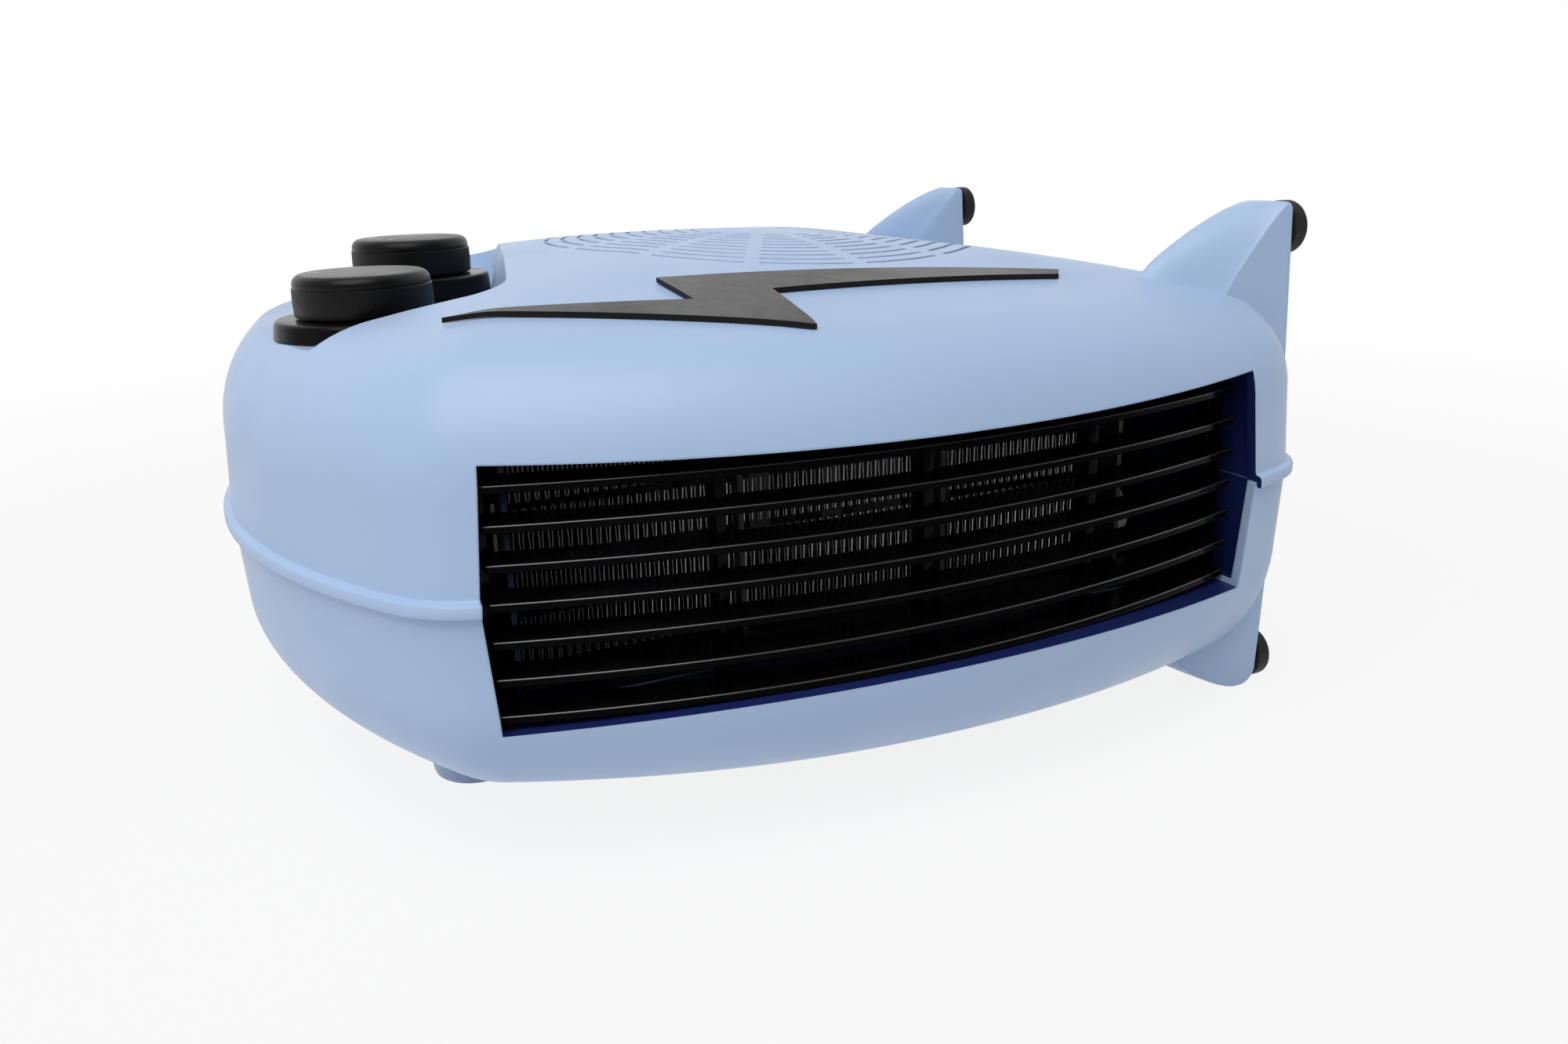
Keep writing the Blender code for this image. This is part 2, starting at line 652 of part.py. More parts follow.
def build_lower_shell(finish):
    shell = add_piece("lower_shell", shell_solid(-1, bead=True, base=GAP / 2), finish)
    rests = []
    for across in (-REST_FROM_MID, REST_FROM_MID):
        x, y = LEFT_X + REST_FROM_END, MID_Y + across
        flat = circle((x, y), REST_RADIUS * 0.86, 14)
        wide = circle((x, y), REST_RADIUS, 14)
        broad = circle((x, y), REST_RADIUS * 1.8, 14)
        rests.append(loft([[(u, v, 0.0) for u, v in flat],
                           [(u, v, REST_RADIUS * 0.12) for u, v in wide],
                           [(u, v, lift(-STRAIGHT_TOP)) for u, v in broad]]))
    combine(shell, [wing(middle, -1) for middle in WING_MIDS] + rests, "UNION")
    hollow = add_piece("lower_hollow", shell_solid(-1, offset=WALL, base=-WALL), None)
    kept = duct_walls(-1)
    kept += [column(place, COLUMN_RADIUS, lift(-PARTING_HEIGHT), lift(-GAP / 2)) for place in SCREW_PLACES]
    kept += motor_posts()
    combine(hollow, kept, "DIFFERENCE")
    combine_object(shell, hollow, "DIFFERENCE")
    wells = [column(place, SCREW_HEAD + GAP, -GAP, lift(-SCREW_LAND)) for place in SCREW_PLACES]
    holes = [column(place, SCREW_SHANK + 2 * GAP, lift(-2 * SCREW_LAND), lift(GAP))
             for place in SCREW_PLACES]
    combine(shell, [outlet_cutter(-1)] + wells + holes + [bush_hole()], "DIFFERENCE")
    return shell


# Cord inlet bush in the rear wall of the lower shell
def bush_turned(profile, count=16):
    """Turned solid laid along +Y at the cord inlet, from the wall outwards."""
    shape = turned(profile, count)
    x = LEFT_X + BUSH_FROM_END
    rear = 2 * MID_Y - front_surface(x) - wall_inset(-BUSH_HEIGHT)
    for vert in shape.verts:
        vert.co = Vector((x + vert.co.x, rear + vert.co.z, lift(BUSH_HEIGHT) - vert.co.y))
    face_out(shape)
    return shape


def bush_hole():
    radius = BUSH_RADIUS + GAP
    return bush_turned([(0, -BUSH_LENGTH), (radius, -BUSH_LENGTH), (radius, BUSH_LENGTH), (0, BUSH_LENGTH)])


def build_bush(finish):
    flange = BUSH_RADIUS + BUSH_FLANGE
    face = BUSH_RADIUS * 0.4 + GAP
    profile = [(BUSH_BORE, -BUSH_LENGTH * 0.6), (BUSH_RADIUS, -BUSH_LENGTH * 0.6), (BUSH_RADIUS, face),
               (flange, face), (flange, face + BUSH_FLANGE), (BUSH_BORE, face + BUSH_FLANGE)]
    return add_piece("cord_bush", bush_turned(profile), finish)


# Grille
def arc_slab(recess, depth, low, high, left, right, steps):
    """Slab that follows the front arc in plan, between two recesses behind it."""
    front = []
    back = []
    for i in range(steps + 1):
        x = left + (right - left) * i / steps
        nose = front_surface(x) + recess + GRILLE_SKEW * (x - OUTLET_X)
        front.append((x, nose))
        back.append((x, nose + depth))
    return prism(front + back[::-1], lift(low), lift(high))


def build_grille(finish):
    half = DUCT_HALF - GAP
    left, right = OUTLET_X - half, OUTLET_X + half
    top = DUCT_CLEAR - GAP
    strips = [(left, left + GRILLE_STRIP), (right - GRILLE_STRIP, right)]
    frame = (GRILLE_RECESS + RIB_SETBACK, GRILLE_DEPTH - RIB_SETBACK + 4 * GAP, -top, top)
    grille = add_piece("outlet_grille", arc_slab(*frame, *strips[0], 1), finish)
    parts = [arc_slab(*frame, *strips[1], 1)]
    fins = []
    fin_reach = OUTLET_WIDTH / 2 - GAP
    for i in range(FIN_COUNT):
        middle = FIN_MIDDLE + FIN_PITCH * (i - (FIN_COUNT - 1) / 2)
        fins.append(arc_slab(GRILLE_RECESS + GAP, GRILLE_DEPTH - 2 * GAP, middle - FIN_THICK / 2,
                             middle + FIN_THICK / 2, OUTLET_X - fin_reach, OUTLET_X + fin_reach, 10))
    for i in range(RIB_COUNT):
        x = OUTLET_X + RIB_PITCH * (i - (RIB_COUNT - 1) / 2)
        parts.append(arc_slab(*frame, x - RIB_THICK / 2, x + RIB_THICK / 2, 1))
    combine(grille, [joined(fins)] + parts, "UNION")
    return grille


# Bolt figure that follows the dome
def build_bolt(finish):
    corners = (BOLT_LEFT, BOLT_FRONT, BOLT_NOTCH_FRONT, BOLT_RIGHT_FRONT, BOLT_RIGHT, BOLT_REAR,
               BOLT_NOTCH_REAR)
    outline = [(AXIS_X + x, FRONT_Y + y) for x, y in corners]
    bolt = add_piece("bolt_inlay", prism(outline, lift(STRAIGHT_TOP), lift(PARTING_HEIGHT)), finish)
    combine(bolt, [shell_solid(1, offset=-GAP - BOLT_THICK)], "INTERSECT")
    combine(bolt, [shell_solid(1, offset=-GAP, base=-WALL)], "DIFFERENCE")
    return bolt


# Rubber feet on the wing tips
def build_foot(name, middle, side, finish):
    height = PARTING_HEIGHT - FOOT_DROP
    seat = wing_face(height - FOOT_RADIUS) + GAP
    reach = BASE_X + FOOT_REACH - seat
    profile = [(0, 0.0), (FOOT_RADIUS, 0.0), (FOOT_RADIUS, reach * 0.7), (FOOT_RADIUS * 0.86, reach),
               (0, reach)]
    shape = turned(profile, 16)
    for vert in shape.verts:
        vert.co = Vector((seat + vert.co.z, middle + vert.co.x, lift(side * height) + vert.co.y))
    face_out(shape)
    return add_piece(name, shape, finish)


# Controls
def build_panel(finish):
    low, high = lift(POCKET_FLOOR + GAP), lift(POCKET_FLOOR + GAP + PANEL_HEIGHT)
    boss = prism(circle(SELECTOR_AXIS, PANEL_BOSS_RADIUS, 28), low, high)
    panel = add_piece("control_panel", boss, finish)
    along = Vector(THERMOSTAT_AXIS) - Vector(SELECTOR_AXIS)
    across = Vector((-along.y, along.x)).normalized() * (PANEL_WEB / 2)
    web = [Vector(SELECTOR_AXIS) - across, Vector(SELECTOR_AXIS) + across,
           Vector(THERMOSTAT_AXIS) + across, Vector(THERMOSTAT_AXIS) - across]
    web_shape = prism([tuple(point) for point in reversed(web)], low, high - PANEL_HEIGHT * 0.4)
    raised = high + THERMOSTAT_RAISE
    combine(panel, [prism(circle(THERMOSTAT_AXIS, PANEL_BOSS_RADIUS, 28), low, raised), web_shape], "UNION")
    holes = [prism(circle(axis, SPINDLE_RADIUS + 2 * GAP, 12), low - GAP, raised + GAP)
             for axis in (SELECTOR_AXIS, THERMOSTAT_AXIS)]
    combine(panel, holes, "DIFFERENCE")
    return panel


def build_knob(name, axis, boss, finish):
    """Domed knob with a blind bore for its spindle. Its origin is on its axis, at its base."""
    base = lift(POCKET_FLOOR + boss + 2 * GAP)
    bore = SPINDLE_RADIUS + GAP
    side_top = KNOB_HEIGHT - KNOB_EDGE - KNOB_CROWN
    cap = KNOB_RADIUS * 0.985
    profile = [(bore, 0.0), (KNOB_RADIUS, 0.0), (cap, side_top)]
    for i in range(1, 4):
        turn = math.pi / 2 * i / 3
        profile.append((cap - KNOB_EDGE * (1 - math.cos(turn)), side_top + KNOB_EDGE * math.sin(turn)))
    profile += [(KNOB_RADIUS * 0.4, KNOB_HEIGHT - KNOB_CROWN * 0.2), (0.0, KNOB_HEIGHT),
                (0.0, SPINDLE_IN_KNOB + GAP), (bore, SPINDLE_IN_KNOB + GAP)]
    return add_piece(name, turned(profile, 28), finish, (*axis, base))


def build_spindle(name, axis, boss, finish):
    low = POCKET_FLOOR - WALL
    high = POCKET_FLOOR + boss + 2 * GAP + SPINDLE_IN_KNOB
    profile = [(0, 0.0), (SPINDLE_RADIUS, 0.0), (SPINDLE_RADIUS, high - low), (0, high - low)]
    return add_piece(name, turned(profile, 12), finish, (*axis, lift(low)))


def build_switch(finish):
    x, y = SELECTOR_AXIS
    top = lift(POCKET_FLOOR - WALL - GAP)
    half = SWITCH_SIZE / 2
    corners = [(x - half, y - half), (x + half, y - half), (x + half, y + half), (x - half, y + half)]
    corners = rounded_corners(corners, half * 0.2, 2)
    return add_piece("selector_switch", prism(corners, top - SWITCH_HEIGHT, top), finish)


def build_thermostat(finish):
    x, y = THERMOSTAT_AXIS
    top = lift(POCKET_FLOOR - WALL - GAP)
    half = THERMOSTAT_WIDTH / 2
    long = THERMOSTAT_LENGTH / 2
    corners = [(x - half, y - long), (x + half, y - long), (x + half, y + long), (x - half, y + long)]
    corners = rounded_corners(corners, half * 0.3, 2)
    return add_piece("thermostat_body", prism(corners, top - THERMOSTAT_HEIGHT, top), finish)


def build_blade(finish):
    """Bimetal strip bent under the thermostat body."""
    x, y = THERMOSTAT_AXIS
    top = lift(POCKET_FLOOR - WALL - 2 * GAP) - THERMOSTAT_HEIGHT
    long = THERMOSTAT_LENGTH / 2
    outline = [(y - long, top - BLADE_THICK), (y, top - BLADE_THICK), (y + long, top - BLADE_THICK * 4),
               (y + long, top - BLADE_THICK * 3), (y, top), (y - long, top)]
    half = THERMOSTAT_WIDTH * 0.3
    shape = loft([[(side, v, z) for v, z in outline] for side in (x - half, x + half)])
    face_out(shape)
    return add_piece("thermostat_blade", shape, finish)


# Blower and motor
def blower_box(x0, x1, y0, y1, low, high):
    return box((BLOWER_X + x0, MID_Y + y0, lift(low)), (BLOWER_X + x1, MID_Y + y1, lift(high)))


def build_wheel(finish):
    """Squirrel-cage wheel: hub, floor plate and a rim cut into swept blades."""
    bore = SHAFT_RADIUS + GAP
    inner = WHEEL_RADIUS - WHEEL_RIM
    floor = WHEEL_BASE + WHEEL_PLATE
    profile = [(bore, WHEEL_BASE), (WHEEL_RADIUS, WHEEL_BASE), (WHEEL_RADIUS, WHEEL_TOP), (inner, WHEEL_TOP),
               (inner, floor), (WHEEL_HUB, floor), (WHEEL_HUB, 0.0), (bore, 0.0)]
    centre = (BLOWER_X, MID_Y, PARTING_HEIGHT)
    wheel = add_piece("blower_wheel", turned(profile, 2 * WHEEL_BLADES), finish, centre)
    pitch = 2 * math.pi / WHEEL_BLADES
    open_half = pitch * (1 - BLADE_SHARE) / 2
    sweep = math.radians(BLADE_SWEEP)
    windows = []
    for i in range(WHEEL_BLADES):
        outline = []
        for radius, turn in ((inner - WALL, 0.0), (WHEEL_RADIUS + WALL, sweep)):
            ends = (pitch * i + turn - open_half, pitch * i + turn + open_half)
            outline.append([(radius * math.cos(a), radius * math.sin(a)) for a in ends])
        corners = [outline[0][0], outline[1][0], outline[1][1], outline[0][1]]
        windows.append(prism(corners, floor, WHEEL_TOP - WHEEL_PLATE))
    tool = add_piece("tool", joined(windows), None, wheel.location)
    combine_object(wheel, tool, "DIFFERENCE")
    return wheel


CORE_BASE = CORE_TOP - CORE_THICK
STRAP_TOP = CORE_BASE - GAP - BRACKET_LEG
STRAP_BASE = STRAP_TOP - BRACKET_THICK
UPPER_LEG = BEARING_HEIGHT + 2 * GAP


def build_rotor(finish):
    """Rotor and the shaft that carries the wheel, with the origin on the axis."""
    top = CORE_TOP - 2 * GAP
    base = CORE_BASE + 2 * GAP
    end = STRAP_BASE - BRACKET_THICK
    profile = [(0, end), (SHAFT_RADIUS, end), (SHAFT_RADIUS, base), (ROTOR_RADIUS, base),
               (ROTOR_RADIUS, top), (SHAFT_RADIUS, top), (SHAFT_RADIUS, 0.0), (0, 0.0)]
    return add_piece("motor_rotor", turned(profile, 20), finish, (BLOWER_X, MID_Y, PARTING_HEIGHT))


def build_core(finish):
    half = CORE_WIDTH / 2
    block = blower_box(-half, half, -CORE_FRONT, CORE_REAR, CORE_BASE, CORE_TOP)
    core = add_piece("motor_core", block, finish)
    bore = prism(circle((BLOWER_X, MID_Y), ROTOR_RADIUS + AIR_GAP, 24), lift(CORE_BASE - GAP),
                 lift(CORE_TOP + GAP))
    window = blower_box(-CORE_WINDOW / 2, CORE_WINDOW / 2, CORE_FRONT, CORE_REAR - CORE_BAR,
                      CORE_BASE - GAP, CORE_TOP + GAP)
    combine(core, [bore, window], "DIFFERENCE")
    return core


def build_coil(finish):
    """Winding round the bar at the rear of the core."""
    half = CORE_WINDOW / 2 - GAP
    front, back = CORE_REAR - CORE_BAR - GAP, CORE_REAR + GAP
    low, high = CORE_BASE - GAP, CORE_TOP + GAP
    coil = add_piece("motor_coil", blower_box(-half, half, front - COIL_BUILD, back + COIL_BUILD,
                                            low - COIL_BUILD, high + COIL_BUILD), finish)
    combine(coil, [blower_box(-2 * half, 2 * half, front, back, low, high)], "DIFFERENCE")
    return coil


def bracket_outline(leg):
    """(x, z) outline of a strap with a leg at each end. The strap's inner face is at 0."""
    half = CORE_WIDTH / 2
    thick = BRACKET_THICK
    return [(-half, -thick), (half, -thick), (half, leg), (half - thick, leg), (half - thick, 0.0),
            (-half + thick, 0.0), (-half + thick, leg), (-half, leg)]


def build_bracket(name, strap, turn, leg, finish):
    outline = [(BLOWER_X + x, lift(strap) + turn * z) for x, z in bracket_outline(leg)]
    half = BRACKET_WIDTH / 2
    bracket = add_piece(name, prism_along_y(outline, MID_Y - half, MID_Y + half), finish)
    hole = prism(circle((BLOWER_X, MID_Y), SHAFT_RADIUS + 2 * GAP, 12), lift(strap - 2 * BRACKET_THICK),
                 lift(strap + 2 * BRACKET_THICK))
    combine(bracket, [hole], "DIFFERENCE")
    return bracket


def build_bearing(name, low, finish):
    profile = [(SHAFT_RADIUS + RUNNING_GAP, 0.0), (BEARING_RADIUS, 0.0), (BEARING_RADIUS, BEARING_HEIGHT),
               (SHAFT_RADIUS + RUNNING_GAP, BEARING_HEIGHT)]
    return add_piece(name, turned(profile, 20), finish, (BLOWER_X, MID_Y, lift(low)))


def motor_posts():
    """Posts of the lower shell under the ends of the lower bracket."""
    reach = CORE_WIDTH / 2 - POST_RADIUS
    return [prism(circle((BLOWER_X + side * reach, MID_Y), POST_RADIUS, 12), lift(-PARTING_HEIGHT),
                  lift(STRAP_BASE - GAP)) for side in (-1, 1)]


# Heating element
def element_box(x0, x1, low, high, front=0.0, back=ELEMENT_DEPTH):
    y = FRONT_Y + ELEMENT_FRONT
    return box((OUTLET_X + x0, y + front, lift(low)), (OUTLET_X + x1, y + back, lift(high)))


PLATE_TOP = DUCT_CLEAR - GAP
RAIL_LEFT = ELEMENT_LEFT + MICA_THICK + GAP
RAIL_RIGHT = ELEMENT_RIGHT - GAP


def row_heights():
    return [ROW_PITCH * (i - (WIRE_ROWS - 1) / 2) for i in range(WIRE_ROWS)]


def build_mica(finish):
    for name, x in (("mica_plate_left", ELEMENT_LEFT), ("mica_plate_right", ELEMENT_RIGHT)):
        add_piece(name, element_box(x, x + MICA_THICK, -PLATE_TOP, PLATE_TOP), finish)
    rail_low = PLATE_TOP - MICA_THICK
    add_piece("mica_rail_upper", element_box(RAIL_LEFT, RAIL_RIGHT, rail_low, PLATE_TOP), finish)
    add_piece("mica_rail_lower", element_box(RAIL_LEFT, RAIL_RIGHT, -PLATE_TOP, -rail_low), finish)
    spacer_top = rail_low - GAP
    window = ROW_HEIGHT / 2 + WIRE_RADIUS + GAP
    margin = ELEMENT_DEPTH * 0.2
    for i in range(SPACER_COUNT):
        x = ELEMENT_LEFT + (ELEMENT_RIGHT - ELEMENT_LEFT) * (i + 1) / (SPACER_COUNT + 1)
        plate = element_box(x, x + MICA_THICK, -spacer_top, spacer_top)
        spacer = add_piece(f"mica_spacer_{i + 1}", plate, finish)
        windows = [element_box(x - MICA_THICK, x + 2 * MICA_THICK, height - window, height + window,
                               margin, ELEMENT_DEPTH - margin) for height in row_heights()]
        combine(spacer, [joined(windows)], "DIFFERENCE")


def wire_path(height):
    """Zigzag of one row from plate to plate: upright runs joined by blunt turns."""
    start = RAIL_LEFT + WIRE_RADIUS
    pitch = (RAIL_RIGHT - WIRE_RADIUS - start) / (2 * WIRE_LOOPS)
    top = ROW_HEIGHT / 2
    shoulder = top - pitch * 0.3
    y = FRONT_Y + ELEMENT_FRONT + ELEMENT_DEPTH / 2
    points = [Vector((OUTLET_X + start, y, lift(height)))]
    for i in range(2 * WIRE_LOOPS):
        side = 1 if i % 2 == 0 else -1
        left = OUTLET_X + start + pitch * i
        for along, level in ((0.2, shoulder), (0.5, top), (0.8, shoulder)):
            points.append(Vector((left + pitch * along, y, lift(height + side * level))))
    points.append(Vector((OUTLET_X + start + pitch * 2 * WIRE_LOOPS, y, lift(height))))
    return points


def least_gap(points):
    """Smallest clear distance between runs of a zigzag that are a loop apart or more."""
    apart = 4
    least = min((points[i] - points[j]).length for i in range(len(points))
                for j in range(i + apart, min(i + 4 * apart, len(points))))
    return least - 2 * WIRE_RADIUS


def build_wires(finish):
    for number, height in enumerate(row_heights(), start=1):
        points = wire_path(height)
        name = f"heater_wire_{number}"
        curve = bpy.data.curves.new(name, "CURVE")
        curve.dimensions = "3D"
        curve.bevel_depth = WIRE_RADIUS
        curve.bevel_resolution = 0
        curve.use_fill_caps = True
        spline = curve.splines.new("POLY")
        spline.points.add(len(points) - 1)
        for knot, point in zip(spline.points, points):
            knot.co = (*point, 1.0)
        curve.materials.append(finish)
        wire = bpy.data.objects.new(name, curve)
        bpy.context.scene.collection.objects.link(wire)
    print(f"least gap of a heater wire to itself: {least_gap(points) * 1000:.2f} mm")


def build_terminals(metal, body):
    y = ELEMENT_DEPTH / 2
    for name, inner, side in (("heater_terminal_left", ELEMENT_LEFT - GAP, -1),
                              ("heater_terminal_right", ELEMENT_RIGHT + MICA_THICK + GAP, 1)):
        outer = inner + side * TAB_THICK
        add_piece(name, element_box(min(inner, outer), max(inner, outer), GAP, TAB_HEIGHT,
                                    y - TAB_WIDTH / 2, y + TAB_WIDTH / 2), metal)
    shape = turned([(0, 0.0), (CUTOUT_RADIUS, 0.0), (CUTOUT_RADIUS, CUTOUT_LENGTH * 0.7),
                    (CUTOUT_RADIUS * 0.6, CUTOUT_LENGTH), (0, CUTOUT_LENGTH)], 20)
    seat = OUTLET_X + ELEMENT_RIGHT + MICA_THICK + GAP
    middle = FRONT_Y + ELEMENT_FRONT + y
    height = lift(-CUTOUT_RADIUS - TAB_HEIGHT / 4)
    for vert in shape.verts:
        vert.co = Vector((seat + vert.co.z, middle + vert.co.x, height + vert.co.y))
    face_out(shape)
    add_piece("thermal_cutout", shape, body)


# Screws that pull the lower shell onto the bosses of the upper one
def build_screws(finish):
    seat = -SCREW_LAND - GAP
    length = SCREW_GRIP - seat
    top = -SCREW_HEAD_HEIGHT
    profile = [(0, top), (SCREW_HEAD * 0.8, top), (SCREW_HEAD, top * 0.5), (SCREW_HEAD, 0.0),
               (SCREW_SHANK, 0.0), (SCREW_SHANK, length - SCREW_SHANK), (0, length)]
    for number, place in enumerate(SCREW_PLACES, start=1):
        spot = (LEFT_X + place[0], MID_Y + place[1], lift(seat))
        add_piece(f"shell_screw_{number}", turned(profile, 12), finish, spot)


def main():
    for old in list(bpy.data.objects):
        bpy.data.objects.remove(old)

    shell_blue = material("shell_blue", (0.46, 0.62, 0.90), 0.42)
    grille_black = material("grille_black", (0.012, 0.012, 0.014), 0.22)
    satin_black = material("satin_black", (0.016, 0.016, 0.018), 0.42)
    rubber = material("rubber", (0.018, 0.017, 0.017), 0.75)
    inlay_black = material("inlay_black", (0.05, 0.048, 0.047), 0.35)
    steel = material("steel", (0.55, 0.55, 0.56), 0.38, 1.0)
    brass = material("brass", (0.72, 0.55, 0.28), 0.35, 1.0)
    copper = material("copper", (0.62, 0.30, 0.14), 0.35, 1.0)
    wire = material("wire", (0.50, 0.47, 0.44), 0.40, 1.0)
    mica = material("mica", (0.16, 0.13, 0.09), 0.60)
    wheel_grey = material("wheel_grey", (0.08, 0.08, 0.085), 0.50)
    ivory = material("ivory", (0.72, 0.68, 0.58), 0.50)

    build_upper_shell(shell_blue)
    build_lower_shell(shell_blue)
    build_grille(grille_black)
    build_bolt(inlay_black)
    for level, side in (("upper", 1), ("lower", -1)):
        for end, middle in zip(("front", "rear"), WING_MIDS):
            build_foot(f"rubber_foot_{end}_{level}", middle, side, rubber)

    build_panel(satin_black)
    rear_boss = PANEL_HEIGHT + THERMOSTAT_RAISE
    build_knob("selector_knob", SELECTOR_AXIS, PANEL_HEIGHT, satin_black)
    build_knob("thermostat_knob", THERMOSTAT_AXIS, rear_boss, satin_black)
    build_spindle("selector_spindle", SELECTOR_AXIS, PANEL_HEIGHT, steel)
    build_spindle("thermostat_spindle", THERMOSTAT_AXIS, rear_boss, steel)
    build_switch(ivory)
    build_thermostat(ivory)
    build_blade(brass)

    build_wheel(wheel_grey)
    build_rotor(steel)
    build_core(steel)
    build_coil(copper)
    build_bracket("motor_bracket_lower", STRAP_TOP, 1, BRACKET_LEG, steel)
    build_bracket("motor_bracket_upper", CORE_TOP + GAP + UPPER_LEG, -1, UPPER_LEG, steel)
    build_bearing("bearing_lower", STRAP_TOP + GAP, brass)
    build_bearing("bearing_upper", CORE_TOP + GAP + UPPER_LEG - GAP - BEARING_HEIGHT, brass)

    build_mica(mica)
    build_wires(wire)
    build_terminals(brass, ivory)
    build_bush(satin_black)
    build_screws(steel)

    for piece in bpy.data.objects:
        if piece.type == "MESH":
            piece.data.shade_smooth()
            piece.data.set_sharp_from_angle(angle=math.radians(35))


main()
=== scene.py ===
import math

import bpy
from mathutils import Matrix, Vector
from mathutils.bvhtree import BVHTree


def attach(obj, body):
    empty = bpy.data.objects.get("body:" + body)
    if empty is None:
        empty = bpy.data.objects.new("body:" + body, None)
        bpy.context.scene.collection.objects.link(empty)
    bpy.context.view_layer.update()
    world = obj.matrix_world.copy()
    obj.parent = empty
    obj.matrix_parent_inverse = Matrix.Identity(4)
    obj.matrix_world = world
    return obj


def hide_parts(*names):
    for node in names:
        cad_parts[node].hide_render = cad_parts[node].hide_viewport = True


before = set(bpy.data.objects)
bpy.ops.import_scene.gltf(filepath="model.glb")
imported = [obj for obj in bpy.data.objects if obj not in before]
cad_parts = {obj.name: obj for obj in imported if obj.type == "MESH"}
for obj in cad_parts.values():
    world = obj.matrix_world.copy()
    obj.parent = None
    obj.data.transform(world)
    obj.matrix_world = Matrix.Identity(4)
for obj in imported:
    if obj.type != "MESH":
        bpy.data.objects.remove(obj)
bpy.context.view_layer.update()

print("frame loaded:", len(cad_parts), "nodes")

# the heater's own layout, in metres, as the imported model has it
body = {
    "leftX": -0.12550, "baseX": 0.12370, "midY": -0.0017046, "frontY": -0.1152046, "parting": 0.0640,
    "frontRadius": 0.2888, "frontCentre": (0.00940, 0.1737954), "endRadius": 0.1600,
    "endCorner": 0.0250, "baseCorner": 0.0220, "leastFillet": 0.0100,
    "straightTop": 0.0197, "edgeRadius": 0.0280, "draft": 0.055, "axisX": -0.00110,
    "domeCentre": 0.1244, "blowerX": 0.01450, "wall": 0.0025, "gap": 0.0003,
    "seam": 0.00015, "domeReach": 0.985,
}
upperForm = {"side": 1, "sweep": 75.0, "crown": 0.0593, "tilt": -0.016, "drop": 0.0}
lowerForm = {"side": -1, "sweep": 81.0, "crown": 0.0547, "tilt": 0.033, "drop": 0.0034}
outlet = {"x": 0.00640, "half": 0.0907, "lip": 0.0260, "sag": 0.0018, "lean": 0.080}


# hand tools
def clearSelection():
    if bpy.context.mode != "OBJECT":
        bpy.ops.object.mode_set(mode="OBJECT")
    bpy.ops.object.select_all(action="DESELECT")


def pick(piece):
    clearSelection()
    piece.select_set(True)
    bpy.context.view_layer.objects.active = piece


def normalsOut(piece):
    pick(piece)
    bpy.ops.object.mode_set(mode="EDIT")
    bpy.ops.mesh.select_all(action="SELECT")
    bpy.ops.mesh.normals_make_consistent(inside=False)
    bpy.ops.object.mode_set(mode="OBJECT")


def skinRings(name, rings):
    # a filled circle is extruded once for each ring, then its points go to their places
    clearSelection()
    bpy.ops.mesh.primitive_circle_add(vertices=len(rings[0]), fill_type="NGON")
    piece = bpy.context.object
    piece.name = name
    bpy.ops.object.mode_set(mode="EDIT")
    bpy.ops.mesh.select_all(action="SELECT")
    for _ in rings[1:]:
        bpy.ops.mesh.extrude_region()
    bpy.ops.object.mode_set(mode="OBJECT")
    places = [value for ring in rings for point in ring for value in point]
    piece.data.vertices.foreach_set("co", places)
    piece.data.update()
    normalsOut(piece)
    return piece


def turnRings(profile, count, centre=(0, 0), ripple=None):
    rings = []
    for radius, height in profile:
        ring = []
        for i in range(count):
            angle = 2 * math.pi * i / count
            reach = radius
            if ripple and ripple["low"] <= height <= ripple["high"]:
                reach -= ripple["depth"] * (i % 2)
            ring.append((centre[0] + reach * math.cos(angle), centre[1] + reach * math.sin(angle), height))
        rings.append(ring)
    return rings


def prismOf(name, outline, low, high):
    return skinRings(name, [[(x, y, low) for x, y in outline], [(x, y, high) for x, y in outline]])


def block(name, low, high, bevel=0.0):
    clearSelection()
    size = [b - a for a, b in zip(low, high)]
    middle = [(a + b) / 2 for a, b in zip(low, high)]
    bpy.ops.mesh.primitive_cube_add(size=1.0, location=middle, scale=size)
    piece = bpy.context.object
    piece.name = name
    bpy.ops.object.transform_apply(location=True, rotation=True, scale=True)
    if bevel:
        bpy.ops.object.mode_set(mode="EDIT")
        bpy.ops.mesh.select_all(action="SELECT")
        bpy.ops.mesh.bevel(offset=bevel, segments=2, affect="EDGES")
        bpy.ops.object.mode_set(mode="OBJECT")
    return piece


def combine(piece, tool, how):
    pick(piece)
    step = piece.modifiers.new("combine", "BOOLEAN")
    step.operation = how
    step.solver = "EXACT"
    step.material_mode = "TRANSFER"     # a tool's finish goes to the faces that it cuts
    step.object = tool
    bpy.ops.object.modifier_apply(modifier=step.name)
    bpy.data.objects.remove(tool)
    return piece


def joinPieces(pieces, name):
    pick(pieces[0])
    for piece in pieces:
        piece.select_set(True)
    bpy.ops.object.join()
    whole = bpy.context.object
    whole.name = name
    return whole


def reshape(piece, move):
    for vertex in piece.data.vertices:
        vertex.co = move(vertex.co)
    piece.data.update()
    normalsOut(piece)
    return piece


def finishPiece(piece, name, finish, bodyName, nodes, angle=32.0):
    piece.name = name
    piece.data.name = name
    if finish:
        piece.data.materials.clear()
        piece.data.materials.append(finish)
    pick(piece)
    bpy.ops.object.shade_smooth_by_angle(angle=math.radians(angle))
    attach(piece, bodyName)
    if nodes:
        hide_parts(*nodes)
    return piece


